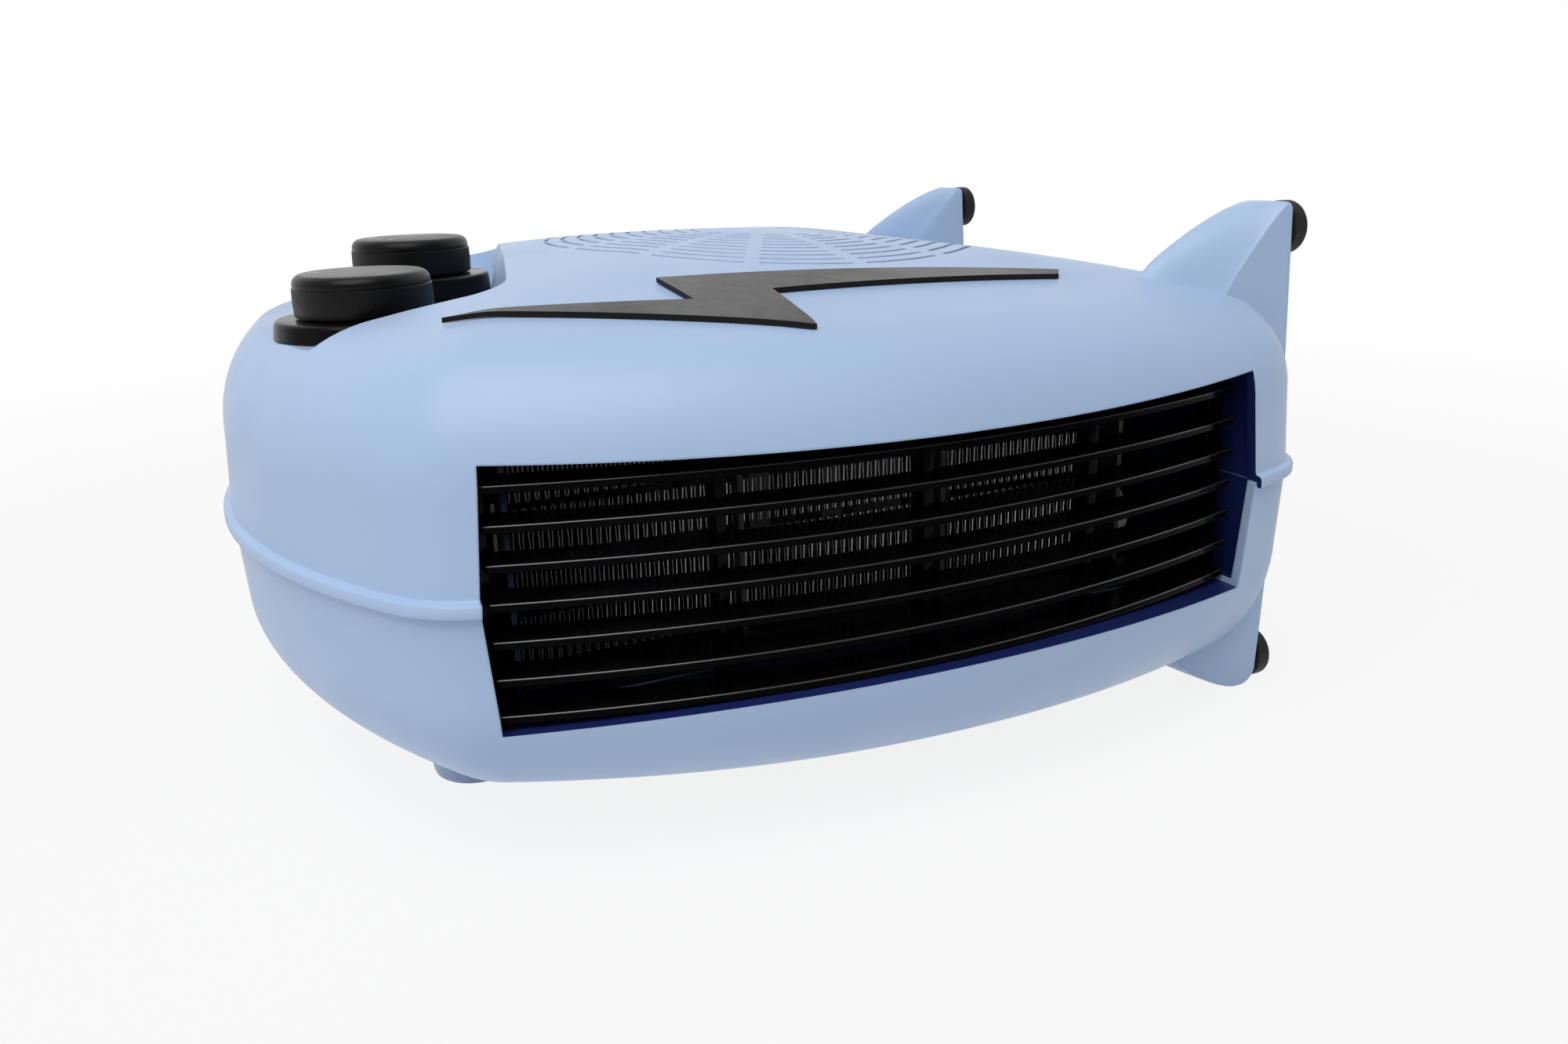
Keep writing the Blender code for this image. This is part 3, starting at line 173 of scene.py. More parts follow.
# shared surface effects
def newGroup(name, inputs, outputs):
    group = bpy.data.node_groups.new(name, "ShaderNodeTree")
    for label, kind, value in inputs:
        socket = group.interface.new_socket(label, in_out="INPUT", socket_type=kind)
        socket.default_value = value
    for label, kind in outputs:
        group.interface.new_socket(label, in_out="OUTPUT", socket_type=kind)
    return group, group.nodes.new("NodeGroupInput"), group.nodes.new("NodeGroupOutput")


def noiseNode(tree, vector, scale, detail, scaleFrom=None):
    node = tree.nodes.new("ShaderNodeTexNoise")
    node.inputs["Scale"].default_value = scale
    node.inputs["Detail"].default_value = detail
    tree.links.new(vector, node.inputs["Vector"])
    if scaleFrom:
        tree.links.new(scaleFrom, node.inputs["Scale"])
    return node


def rangeNode(tree, value, low, high, toLow=0.0, toHigh=1.0):
    node = tree.nodes.new("ShaderNodeMapRange")
    node.inputs["From Min"].default_value = low
    node.inputs["From Max"].default_value = high
    node.inputs["To Min"].default_value = toLow
    node.inputs["To Max"].default_value = toHigh
    tree.links.new(value, node.inputs["Value"])
    return node


def mathNode(tree, how, first, second):
    node = tree.nodes.new("ShaderNodeMath")
    node.operation = how
    for socket, value in zip(node.inputs, (first, second)):
        if isinstance(value, (int, float)):
            socket.default_value = value
        else:
            tree.links.new(value, socket)
    return node


def mixColour(tree, factor, first, second):
    node = tree.nodes.new("ShaderNodeMix")
    node.data_type = "RGBA"
    tree.links.new(factor, node.inputs["Factor"])
    for socket, value in ((node.inputs[6], first), (node.inputs[7], second)):
        if isinstance(value, (tuple, list)):
            socket.default_value = (*value[:3], 1.0)
        else:
            tree.links.new(value, socket)
    return node


def makeHandling():
    # slow clouding of the colour, small specks and faint rub marks
    group, start, end = newGroup(
        "handling",
        [("Vector", "NodeSocketVector", (0, 0, 0)), ("Colour", "NodeSocketColor", (0.5, 0.5, 0.5, 1)),
         ("Soil", "NodeSocketColor", (0.1, 0.1, 0.1, 1)), ("Clouding", "NodeSocketFloat", 0.1),
         ("Specks", "NodeSocketFloat", 0.5)],
        [("Colour", "NodeSocketColor"), ("Rub", "NodeSocketFloat")])
    place = start.outputs["Vector"]
    cloud = noiseNode(group, place, 14.0, 4.0)
    clouding = rangeNode(group, cloud.outputs["Fac"], 0.35, 0.75)
    share = mathNode(group, "MULTIPLY", clouding.outputs["Result"], start.outputs["Clouding"])
    tinted = mixColour(group, share.outputs[0], start.outputs["Colour"], start.outputs["Soil"])
    cells = group.nodes.new("ShaderNodeTexVoronoi")
    cells.inputs["Scale"].default_value = 55.0
    group.links.new(place, cells.inputs["Vector"])
    dots = rangeNode(group, cells.outputs["Distance"], 0.050, 0.020)
    rare = noiseNode(group, place, 23.0, 2.0)
    patch = rangeNode(group, rare.outputs["Fac"], 0.60, 0.68)
    speck = mathNode(group, "MULTIPLY", dots.outputs["Result"], patch.outputs["Result"])
    speckShare = mathNode(group, "MULTIPLY", speck.outputs[0], start.outputs["Specks"])
    soiled = mixColour(group, speckShare.outputs[0], tinted.outputs[2], start.outputs["Soil"])
    rub = noiseNode(group, place, 38.0, 6.0)
    rubbed = rangeNode(group, rub.outputs["Fac"], 0.40, 0.70)
    group.links.new(soiled.outputs[2], end.inputs["Colour"])
    group.links.new(rubbed.outputs["Result"], end.inputs["Rub"])
    return group


def makeGrain():
    # fine moulded or cast tooth, as a height for a Bump node
    group, start, end = newGroup(
        "mouldGrain",
        [("Vector", "NodeSocketVector", (0, 0, 0)), ("Scale", "NodeSocketFloat", 900.0),
         ("Waviness", "NodeSocketFloat", 0.3)],
        [("Height", "NodeSocketFloat")])
    fine = noiseNode(group, start.outputs["Vector"], 900.0, 3.0, start.outputs["Scale"])
    wave = noiseNode(group, start.outputs["Vector"], 26.0, 1.0)
    wavy = mathNode(group, "MULTIPLY", wave.outputs["Fac"], start.outputs["Waviness"])
    total = mathNode(group, "ADD", fine.outputs["Fac"], wavy.outputs[0])
    group.links.new(total.outputs[0], end.inputs["Height"])
    return group


def makeTopDust():
    # dust that settles on faces that look up
    group, start, end = newGroup(
        "topDust",
        [("Vector", "NodeSocketVector", (0, 0, 0)), ("Colour", "NodeSocketColor", (0, 0, 0, 1)),
         ("Dust", "NodeSocketColor", (0.3, 0.3, 0.3, 1)), ("Amount", "NodeSocketFloat", 0.2)],
        [("Colour", "NodeSocketColor"), ("Mask", "NodeSocketFloat")])
    shape = group.nodes.new("ShaderNodeNewGeometry")
    split = group.nodes.new("ShaderNodeSeparateXYZ")
    group.links.new(shape.outputs["Normal"], split.inputs["Vector"])
    upward = rangeNode(group, split.outputs["Z"], 0.35, 0.95)
    grains = noiseNode(group, start.outputs["Vector"], 420.0, 5.0)
    spread = rangeNode(group, grains.outputs["Fac"], 0.38, 0.72)
    laid = mathNode(group, "MULTIPLY", upward.outputs["Result"], spread.outputs["Result"])
    mask = mathNode(group, "MULTIPLY", laid.outputs[0], start.outputs["Amount"])
    dusty = mixColour(group, mask.outputs[0], start.outputs["Colour"], start.outputs["Dust"])
    group.links.new(dusty.outputs[2], end.inputs["Colour"])
    group.links.new(mask.outputs[0], end.inputs["Mask"])
    return group


handling = makeHandling()
mouldGrain = makeGrain()
topDust = makeTopDust()


def useGroup(tree, group, place, values):
    node = tree.nodes.new("ShaderNodeGroup")
    node.node_tree = group
    tree.links.new(place, node.inputs["Vector"])
    for label, value in values.items():
        node.inputs[label].default_value = value
    return node


def newFinish(look):
    # look: colour, soil, clouding, specks, rough (low, high), grain, depth, and what the kind needs
    finish = bpy.data.materials.new(look["name"])
    finish.use_nodes = True
    tree = finish.node_tree
    shader = tree.nodes["Principled BSDF"]
    place = tree.nodes.new("ShaderNodeTexCoord").outputs["Object"]
    worn = useGroup(tree, handling, place, {
        "Colour": (*look["colour"], 1.0), "Soil": (*look["soil"], 1.0), "Clouding": look["clouding"],
        "Specks": look.get("specks", 0.0)})
    colour = worn.outputs["Colour"]
    if look.get("dust"):
        dusty = useGroup(tree, topDust, place, {"Dust": (*look["dustColour"], 1.0), "Amount": look["dust"]})
        tree.links.new(colour, dusty.inputs["Colour"])
        colour = dusty.outputs["Colour"]
    tree.links.new(colour, shader.inputs["Base Color"])
    rough = rangeNode(tree, worn.outputs["Rub"], 0.0, 1.0, *look["rough"])
    tree.links.new(rough.outputs["Result"], shader.inputs["Roughness"])
    grain = useGroup(tree, mouldGrain, place, {
        "Scale": look["grain"], "Waviness": look.get("waviness", 0.3)})
    bump = tree.nodes.new("ShaderNodeBump")
    bump.inputs["Strength"].default_value = look["strength"]
    bump.inputs["Distance"].default_value = look.get("depth", 0.0002)
    tree.links.new(grain.outputs["Height"], bump.inputs["Height"])
    if look.get("softEdge"):
        edge = tree.nodes.new("ShaderNodeBevel")
        edge.samples = 4
        edge.inputs["Radius"].default_value = look["softEdge"]
        tree.links.new(edge.outputs["Normal"], bump.inputs["Normal"])
    tree.links.new(bump.outputs["Normal"], shader.inputs["Normal"])
    shader.inputs["Metallic"].default_value = look.get("metal", 0.0)
    shader.inputs["Specular IOR Level"].default_value = look.get("specular", 0.5)
    return finish


shellBlue = newFinish({
    "name": "shellBlue", "colour": (0.445, 0.605, 0.865), "soil": (0.30, 0.38, 0.50), "clouding": 0.07,
    "specks": 0.45, "rough": (0.36, 0.48), "grain": 1500.0, "strength": 0.10, "depth": 0.00012,
    "softEdge": 0.0007})
# painted shade: a dark navy copy of the shell blue for the faces inside the shell, the outlet and the duct,
# which stand in deep shade
ductShadeBlue = newFinish({
    "name": "ductShadeBlue", "colour": (0.012, 0.022, 0.130), "soil": (0.008, 0.012, 0.050), "clouding": 0.40,
    "rough": (0.36, 0.50), "grain": 1500.0, "strength": 0.10, "depth": 0.00012, "specular": 0.2})
grilleBlack = newFinish({
    "name": "grilleBlack", "colour": (0.0022, 0.0023, 0.0026), "soil": (0.006, 0.006, 0.006),
    "clouding": 0.30, "rough": (0.10, 0.18), "grain": 700.0, "strength": 0.06,
    "specular": 0.05})
# painted highlight: a lighter, more reflective copy of the grille black for the fins' upper front edges
finEdgeHighlight = newFinish({
    "name": "finEdgeHighlight", "colour": (0.030, 0.030, 0.031), "soil": (0.012, 0.012, 0.012), "clouding": 0.40,
    "rough": (0.12, 0.26), "grain": 700.0, "strength": 0.06, "specular": 1.0})
knobBlack = newFinish({
    "name": "knobBlack", "colour": (0.0025, 0.0026, 0.0028), "soil": (0.009, 0.008, 0.008), "clouding": 0.22,
    "rough": (0.28, 0.38), "grain": 1300.0, "strength": 0.12, "specular": 0.20})
# painted sheen: a lighter grey copy of the knob black for the flat tops, standing in for their satin
# reflection
knobTopSheen = newFinish({
    "name": "knobTopSheen", "colour": (0.030, 0.028, 0.027), "soil": (0.050, 0.047, 0.045), "clouding": 0.30,
    "rough": (0.30, 0.46), "grain": 1300.0, "strength": 0.12})
panelBlack = newFinish({
    "name": "panelBlack", "colour": (0.0020, 0.0021, 0.0023), "soil": (0.009, 0.009, 0.009),
    "clouding": 0.25, "rough": (0.16, 0.26), "grain": 1000.0, "strength": 0.10,
    "specular": 0.12})
inlayBlack = newFinish({
    "name": "inlayBlack", "colour": (0.030, 0.029, 0.029), "soil": (0.075, 0.073, 0.072), "clouding": 0.45,
    "rough": (0.34, 0.50), "grain": 420.0, "strength": 0.14, "depth": 0.0003, "waviness": 1.2,
    "dust": 0.12, "dustColour": (0.30, 0.29, 0.28)})
footRubber = newFinish({
    "name": "footRubber", "colour": (0.008, 0.0078, 0.0078), "soil": (0.030, 0.028, 0.026), "clouding": 0.35,
    "rough": (0.55, 0.80), "grain": 1100.0, "strength": 0.30, "depth": 0.0003, "specular": 0.3})
brightSteel = newFinish({
    "name": "brightSteel", "colour": (0.52, 0.52, 0.53), "soil": (0.30, 0.28, 0.26), "clouding": 0.35,
    "rough": (0.26, 0.48), "grain": 800.0, "strength": 0.08, "metal": 1.0})
# painted shade: a darker copy of the inlay finish for the bolt plate's sides, so that the top reads lighter
# than the sides
boltSideShade = newFinish({
    "name": "boltSideShade", "colour": (0.004, 0.004, 0.004), "soil": (0.012, 0.012, 0.012), "clouding": 0.30,
    "rough": (0.40, 0.55), "grain": 420.0, "strength": 0.14, "depth": 0.0003, "specular": 0.2})
tabTin = newFinish({
    "name": "tabTin", "colour": (0.17, 0.165, 0.16), "soil": (0.09, 0.08, 0.07), "clouding": 0.50,
    "rough": (0.34, 0.55), "grain": 700.0, "strength": 0.10, "metal": 1.0})
tabBrass = newFinish({
    "name": "tabBrass", "colour": (0.66, 0.49, 0.24), "soil": (0.30, 0.19, 0.09), "clouding": 0.50,
    "rough": (0.26, 0.50), "grain": 700.0, "strength": 0.10, "metal": 1.0})
coilCopper = newFinish({
    "name": "coilCopper", "colour": (0.56, 0.24, 0.10), "soil": (0.22, 0.08, 0.04), "clouding": 0.45,
    "rough": (0.28, 0.46), "grain": 1400.0, "strength": 0.50, "depth": 0.0004, "metal": 1.0})
heaterAlloy = newFinish({
    "name": "heaterAlloy", "colour": (0.76, 0.75, 0.73), "soil": (0.36, 0.34, 0.32), "clouding": 0.55,
    "rough": (0.20, 0.36), "grain": 1800.0, "strength": 0.12, "depth": 0.0001, "metal": 1.0})
micaBoard = newFinish({
    "name": "micaBoard", "colour": (0.012, 0.010, 0.008), "soil": (0.006, 0.005, 0.004), "clouding": 0.70,
    "specks": 0.8, "rough": (0.34, 0.62), "grain": 320.0, "strength": 0.30, "depth": 0.0004})
wheelGrey = newFinish({
    "name": "wheelGrey", "colour": (0.065, 0.066, 0.070), "soil": (0.030, 0.029, 0.028), "clouding": 0.40,
    "rough": (0.40, 0.60), "grain": 900.0, "strength": 0.15,
    "dust": 0.30, "dustColour": (0.20, 0.19, 0.18)})
switchIvory = newFinish({
    "name": "switchIvory", "colour": (0.66, 0.61, 0.50), "soil": (0.40, 0.33, 0.24), "clouding": 0.35,
    "specks": 0.4, "rough": (0.36, 0.55), "grain": 900.0, "strength": 0.12})
tickPaint = newFinish({
    "name": "tickPaint", "colour": (0.74, 0.73, 0.70), "soil": (0.42, 0.40, 0.38), "clouding": 0.30,
    "rough": (0.45, 0.65), "grain": 1200.0, "strength": 0.10, "depth": 0.0001})
print("finishes ready")


# camera
view = {"place": (-0.12538, -0.32372, 0.14585), "yaw": 0.4216, "pitch": 0.2916, "roll": -0.0279,
        "lens": 29.268, "sensor": 36.0}


def setCamera():
    forward = Vector((math.sin(view["yaw"]) * math.cos(view["pitch"]),
                      math.cos(view["yaw"]) * math.cos(view["pitch"]), -math.sin(view["pitch"])))
    right = Vector((math.cos(view["yaw"]), -math.sin(view["yaw"]), 0.0))
    up = right.cross(forward)
    across = right * math.cos(view["roll"]) + up * math.sin(view["roll"])
    above = up * math.cos(view["roll"]) - right * math.sin(view["roll"])
    clearSelection()
    bpy.ops.object.camera_add()
    camera = bpy.context.object
    camera.name = "photoView"
    turn = Matrix((across, above, -forward)).transposed()
    camera.matrix_world = Matrix.Translation(view["place"]) @ turn.to_4x4()
    camera.data.sensor_fit = "HORIZONTAL"
    camera.data.sensor_width = view["sensor"]
    camera.data.lens = view["lens"]
    camera.data.clip_start = 0.01
    bpy.context.scene.camera = camera


setCamera()


# shell forms
shellRes = {"front": 56, "corner": 12, "wall": 16, "end": 28, "straight": 5, "edge": 16, "dome": 12}
innerRes = {"front": 28, "corner": 8, "wall": 8, "end": 14, "straight": 2, "edge": 8, "dome": 6}


def arcPoints(centre, radius, start, end, steps):
    return [(centre[0] + radius * math.cos(start + (end - start) * i / steps),
             centre[1] + radius * math.sin(start + (end - start) * i / steps)) for i in range(steps)]


def planOutline(inset, res):
    midY, baseX = body["midY"], body["baseX"]
    frontCentre = Vector(body["frontCentre"])
    endCentre = Vector((body["leftX"] + body["endRadius"], midY))
    frontRadius = body["frontRadius"] - inset
    endRadius = body["endRadius"] - inset
    corner = max(body["endCorner"] - inset, body["leastFillet"])
    baseCorner = max(body["baseCorner"] - inset, body["leastFillet"])
    filletX = baseX - inset - baseCorner
    reach = frontRadius - baseCorner
    filletY = frontCentre.y - math.sqrt(reach ** 2 - (filletX - frontCentre.x) ** 2)
    baseFillet = Vector((filletX, filletY))
    along = endCentre - frontCentre
    reachFront, reachEnd = frontRadius - corner, endRadius - corner
    span = along.length
    step = (reachFront ** 2 - reachEnd ** 2 + span ** 2) / (2 * span)
    side = math.sqrt(reachFront ** 2 - step ** 2)
    unit = along / span
    across = Vector((-unit.y, unit.x)) * side
    meet = frontCentre + unit * step
    endFillet = min(meet + across, meet - across, key=lambda p: p.x)

    def heading(centre, point):
        return math.atan2(point.y - centre.y, point.x - centre.x)

    frontStart = heading(frontCentre, endFillet)
    frontEnd = heading(frontCentre, baseFillet)
    endTurn = heading(endCentre, endFillet) % (2 * math.pi)
    half = arcPoints(frontCentre, frontRadius, frontStart, frontEnd, res["front"])
    half += arcPoints(baseFillet, baseCorner, frontEnd, 0.0, res["corner"])
    length = 2 * (midY - filletY)
    wall = [(baseX - inset, filletY + length * i / res["wall"]) for i in range(res["wall"] + 1)]
    cornerArc = arcPoints(endFillet, corner, endTurn, frontStart + 2 * math.pi, res["corner"])
    mirrored = [(x, 2 * midY - y) for x, y in reversed(half[1:])]
    farCorner = [(x, 2 * midY - y) for x, y in reversed(cornerArc)]
    first = [(half[0][0], 2 * midY - half[0][1])]
    sweep = endTurn - math.pi
    endArc = arcPoints(endCentre, endRadius, math.pi - sweep, math.pi + sweep, res["end"])[1:]
    return half + wall + mirrored + first + farCorner + endArc + cornerArc


def tiltedPoint(form, x, y, height):
    share = min(max((height - body["straightTop"]) / body["edgeRadius"], 0.0), 1.0)
    run = x - body["axisX"]
    change = form["tilt"] * run
    if form["side"] < 0:
        change += form["drop"] * (1 - (min(run, 0.0) / body["domeCentre"]) ** 2)
    return (x, y, body["parting"] + form["side"] * (height + change * share))


# the upper shell's bead hangs over the seam as a lip; the lower shell has a plain edge behind it
upperForm["bead"] = [(0.00015, 0.0004), (-0.0013, 0.0004), (-0.0014, 0.0006), (-0.0014, 0.0012),
                     (-0.0012, 0.0016), (-0.0008, 0.00175), (0.0007, 0.0018), (0.0012, 0.0016),
                     (0.0015, 0.0011), (0.0016, 0.0004), (0.0020, 0.0)]
lowerForm["bead"] = [(0.00015, 0.0), (0.0014, 0.0)]


def wallInset(height):
    if height <= body["straightTop"]:
        return body["draft"] * height
    rise = min((height - body["straightTop"]) / body["edgeRadius"], 1.0)
    return body["draft"] * body["straightTop"] + body["edgeRadius"] * (1 - math.sqrt(1 - rise * rise))


def shellSolid(name, form, res, offset=0.0, bead=False, base=0.0):
    straight, draft = body["straightTop"], body["draft"]
    levels = []
    if bead:
        levels += [(height, draft * height - proud) for height, proud in form["bead"]]
    else:
        levels.append((base, draft * base + offset))
    start = levels[-1][0]
    for i in range(1, res["straight"]):
        height = start + (straight - start) * i / res["straight"]
        levels.append((height, draft * height + offset))
    radius = body["edgeRadius"] - offset
    for i in range(res["edge"] + 1):
        turn = math.radians(form["sweep"]) * i / res["edge"]
        levels.append((straight + radius * math.sin(turn),
                       draft * straight + body["edgeRadius"] - radius * math.cos(turn)))
    rings = [[tiltedPoint(form, x, y, h) for x, y in planOutline(inset, res)] for h, inset in levels]
    rimHeight, rimInset = levels[-1]
    rim = planOutline(rimInset, res)
    rise = form["crown"] - offset - rimHeight
    axisX, midY = body["axisX"], body["midY"]
    for i in range(1, res["dome"] + 1):
        share = body["domeReach"] * i / res["dome"]
        rest = 1 - share
        height = rimHeight + rise * (1 - rest ** 2)
        rings.append([tiltedPoint(form, axisX + (x - axisX) * rest, midY + (y - midY) * rest, height)
                      for x, y in rim])
    return skinRings(name, rings)


def frontSurface(x):
    cx, cy = body["frontCentre"]
    return cy - math.sqrt(body["frontRadius"] ** 2 - (x - cx) ** 2)


# wings
wing = {"width": 0.0130, "mids": (-0.0770046, 0.0735954), "proud": 0.0012, "draft": 0.047,
        "tipSide": 0.0018, "tipCrest": 0.0064, "runSide": 0.0225, "bendSide": 1.15, "bendCrest": 1.45,
        "crest": 0.45, "flare": 0.80, "toeFall": 0.30, "edge": 0.0014, "slopeSteps": 28, "roundSteps": 8,
        "low": 0.0011, "sink": 0.0004, "noseBend": 1.3, "edgeShare": 0.75}
upperForm["wing"] = {"run": 0.0430, "round": 0.0017}
lowerForm["wing"] = {"run": 0.0315, "round": 0.0046}


def wingFace(height):
    return body["baseX"] + wing["proud"] - wing["draft"] * height


def wingFall(share, bend):
    # round at the tip, then a short flare that levels out at the toe
    flare = wing["flare"]
    if share <= flare:
        return share ** bend
    start, width = flare ** bend, 1 - flare
    along = (share - flare) / width
    leave = bend * start / flare * width * along * (1 - along) ** 2
    arrive = wing["toeFall"] * width * along ** 2 * (along - 1)
    return start + (1 - start) * along ** 2 * (3 - 2 * along) + leave + arrive


def wingToe(form, nose):
    return body["baseX"] - wing["runSide"] - (form["wing"]["run"] - wing["runSide"]) * nose


def wingSection(form, nose, drop, toeHeight):
    top = body["parting"] - drop
    radius = form["wing"]["round"]
    tip = wing["tipSide"] + (wing["tipCrest"] - wing["tipSide"]) * nose
    bend = wing["bendSide"] + (wing["bendCrest"] - wing["bendSide"]) * nose
    start, toe = wingFace(top) - drop - max(tip, radius), wingToe(form, nose)
    slope = []
    for i in range(1, wing["slopeSteps"] + 1):
        share = i / wing["slopeSteps"]
        slope.append((start + (toe - start) * share, top + (toeHeight - top) * wingFall(share, bend)))
    rounding = []
    for i in range(wing["roundSteps"] + 1):
        turn = math.pi / 2 * i / wing["roundSteps"]
        height = top - radius * (1 - math.sin(turn))
        rounding.append((wingFace(height) - drop - radius * (1 - math.cos(turn)), height))
    rounding.append((start - 0.00005, top))
    low = wing["low"]
    return [(toe, low), (wingFace(low) - drop, low)] + rounding + slope


def wingSolid(name, middle, form, skin):
    half = wing["width"] / 2
    crest = wing["crest"] if middle < body["midY"] else -wing["crest"]
    shares = [-1.0, -0.985, -0.94, -0.87, -0.78]
    shares += [-0.6 + 1.2 * i / 10 for i in range(11)]
    shares += [0.78, 0.87, 0.94, 0.985, 1.0]
    rings = []
    for share in shares:
        climb = (share + 1) / (crest + 1) if share < crest else (1 - share) / (1 - crest)
        nose = math.sin(math.pi / 2 * climb) ** wing["noseBend"] if climb > 0 else 0.0
        if form["side"] < 0:
            nose = 1.0               # the lower wings are plain across
        inward = half * (1 - abs(share))
        drop = 0.0
        if inward < wing["edge"]:
            drop = wing["edge"] - math.sqrt(max(wing["edge"] ** 2 - (wing["edge"] - inward) ** 2, 0.0))
        y = middle + half * share
        above = Vector((wingToe(form, nose), y, body["parting"] + form["side"] * 0.2))
        hit = skin.ray_cast(above, Vector((0, 0, -form["side"])))
        toe = form["side"] * (hit[0].z - body["parting"]) - wing["sink"]
        ring = wingSection(form, nose, drop * wing["edgeShare"], toe)
        rings.append([(px, y, body["parting"] + form["side"] * pz) for px, pz in ring])
    return skinRings(name, rings)


# outlet, duct, pocket, slots
def outletTool(form):
    low = -0.0020
    wide = outlet["half"] + outlet["lean"] * (outlet["lip"] - low)
    points = [(outlet["x"] - wide, low), (outlet["x"] + wide, low)]
    steps = 40
    for i in range(steps + 1):
        share = 1 - 2 * i / steps
        points.append((outlet["x"] + outlet["half"] * share,
                       outlet["lip"] + outlet["sag"] * (share * share - 0.5)))
    ring = [(x, body["parting"] + form["side"] * z) for x, z in points]
    back = frontSurface(outlet["x"] - wide) + 4 * body["wall"]
    tool = skinRings("outletTool", [[(x, body["frontY"] - body["wall"], z) for x, z in ring],
                                    [(x, back, z) for x, z in ring]])
    # painted shade: the upper outlet's cut faces take the dark shade blue
    if form["side"] > 0:
        tool.data.materials.append(ductShadeBlue)
    return tool


duct = {"half": 0.09378, "clear": 0.0254, "top": 0.0440, "back": 0.0560}


def ductTool(form):
    # one channel with two sides and a roof, which the hollow leaves standing
    wall, x, half = body["wall"], outlet["x"], duct["half"]
    low = body["seam"]
    points = [(x - half - wall, low), (x - half, low), (x - half, duct["clear"]), (x + half, duct["clear"]),
              (x + half, low), (x + half + wall, low), (x + half + wall, duct["clear"] + wall),
              (x - half - wall, duct["clear"] + wall)]
    ring = [(u, body["parting"] + form["side"] * w) for u, w in points]
    front, back = body["frontY"] + wall, body["frontY"] + duct["back"]
    return skinRings("ductTool", [[(u, front, w) for u, w in ring], [(u, back, w) for u, w in ring]])


def roundCorners(corners, radius, steps):
    points = []
    for i, corner in enumerate(corners):
        here = Vector(corner)
        before = (Vector(corners[i - 1]) - here).normalized()
        after = (Vector(corners[(i + 1) % len(corners)]) - here).normalized()
        half = before.angle(after) / 2
        inwards = (before + after).normalized()
        centre = here + inwards * (radius / math.sin(half))
        start = here + before * (radius / math.tan(half)) - centre
        end = here + after * (radius / math.tan(half)) - centre
        turn = start.angle_signed(end)
        for k in range(steps + 1):
            spin = -turn * k / steps
            points.append((centre.x + start.x * math.cos(spin) - start.y * math.sin(spin),
                           centre.y + start.x * math.sin(spin) + start.y * math.cos(spin)))
    return points


pocket = {"floor": 0.0430, "front": 0.0460, "rear": 0.0675, "reachFront": 0.0569, "reachRear": 0.0805,
          "lean": 0.300, "corner": 0.0090, "foot": 0.0016}


def pocketTool(name, grow, floor, rounded):
    def outlineAt(more):
        outside = body["leftX"] - 0.010 - more
        front, rear = body["midY"] - pocket["front"] - more, body["midY"] + pocket["rear"] + more
        corners = [(outside, front), (body["leftX"] + pocket["reachFront"] + more, front),
                   (body["leftX"] + pocket["reachRear"] + more, rear), (outside, rear)]
        return roundCorners(corners, pocket["corner"] + more, 10)

    top = body["parting"] + 0.0025
    rings = []
    if rounded:      # small cove where the walls meet the floor
        foot = pocket["foot"]
        for i in range(5):
            turn = math.pi / 2 * i / 4
            rings.append((floor + foot * (1 - math.cos(turn)), grow - foot * (1 - math.sin(turn))))
    else:
        rings.append((floor, grow))
    rings.append((top, grow + pocket["lean"] * (top - floor)))
    return skinRings(name, [[(x, y, body["parting"] + h) for x, y in outlineAt(more)] for h, more in rings])


inlet = {"rings": 10, "first": 0.0184, "step": 0.0043, "width": 0.0010, "sectors": 14, "bridge": 0.0034,
         "low": 0.0477, "high": 0.0635}


def slotOutline(radius, middle, half):
    # two arcs joined by round ends
    reach, steps = inlet["width"] / 2, 5
    points = []
    for side, way in ((1, 1), (-1, -1)):
        for k in range(steps + 1):
            angle = middle + way * half * (2 * k / steps - 1)
            away = radius + side * reach
            points.append((away * math.cos(angle), away * math.sin(angle)))
        end = middle + way * half
        for k in range(1, 4):
            bend = end + math.pi * k / 4 + (0 if way > 0 else math.pi)
            points.append((radius * math.cos(end) + reach * math.cos(bend),
                           radius * math.sin(end) + reach * math.sin(bend)))
    return [(body["blowerX"] + x, body["midY"] + y) for x, y in points]


def slotTools():
    slots = []
    sector = 2 * math.pi / inlet["sectors"]
    low, high = body["parting"] + inlet["low"], body["parting"] + inlet["high"]
    for ring in range(inlet["rings"]):
        radius = inlet["first"] + inlet["step"] * ring
        half = (sector - (inlet["bridge"] + inlet["width"]) / radius) / 2
        for i in range(inlet["sectors"]):
            slots.append(prismOf("slotTool", slotOutline(radius, sector * i, half), low, high))
    return joinPieces(slots, "slotTools")


screws = {"places": ((-0.10110, -0.0517046), (-0.08710, 0.0832954),
                     (0.11140, -0.0447046), (0.11140, 0.0412954)),
          "column": 0.0048, "head": 0.0031, "headHeight": 0.0022, "shank": 0.0015, "land": 0.0050,
          "grip": 0.0120, "columnTop": 0.063, "pilotTop": 0.0126, "holeLow": 0.0100,
          "recess": (0.0019, 0.00035), "recessDepth": 0.0012}


def circleAt(centre, radius, count):
    return [(centre[0] + radius * math.cos(2 * math.pi * i / count),
             centre[1] + radius * math.sin(2 * math.pi * i / count)) for i in range(count)]


def posts(places, radius, low, high, count=24):
    made = [prismOf("post", circleAt(place, radius, count), low, high) for place in places]
    return joinPieces(made, "posts")


knobAxes = {"selector": (-0.09220, -0.0259046), "thermostat": (-0.07290, 0.0283954)}
spindleHole = 0.0036


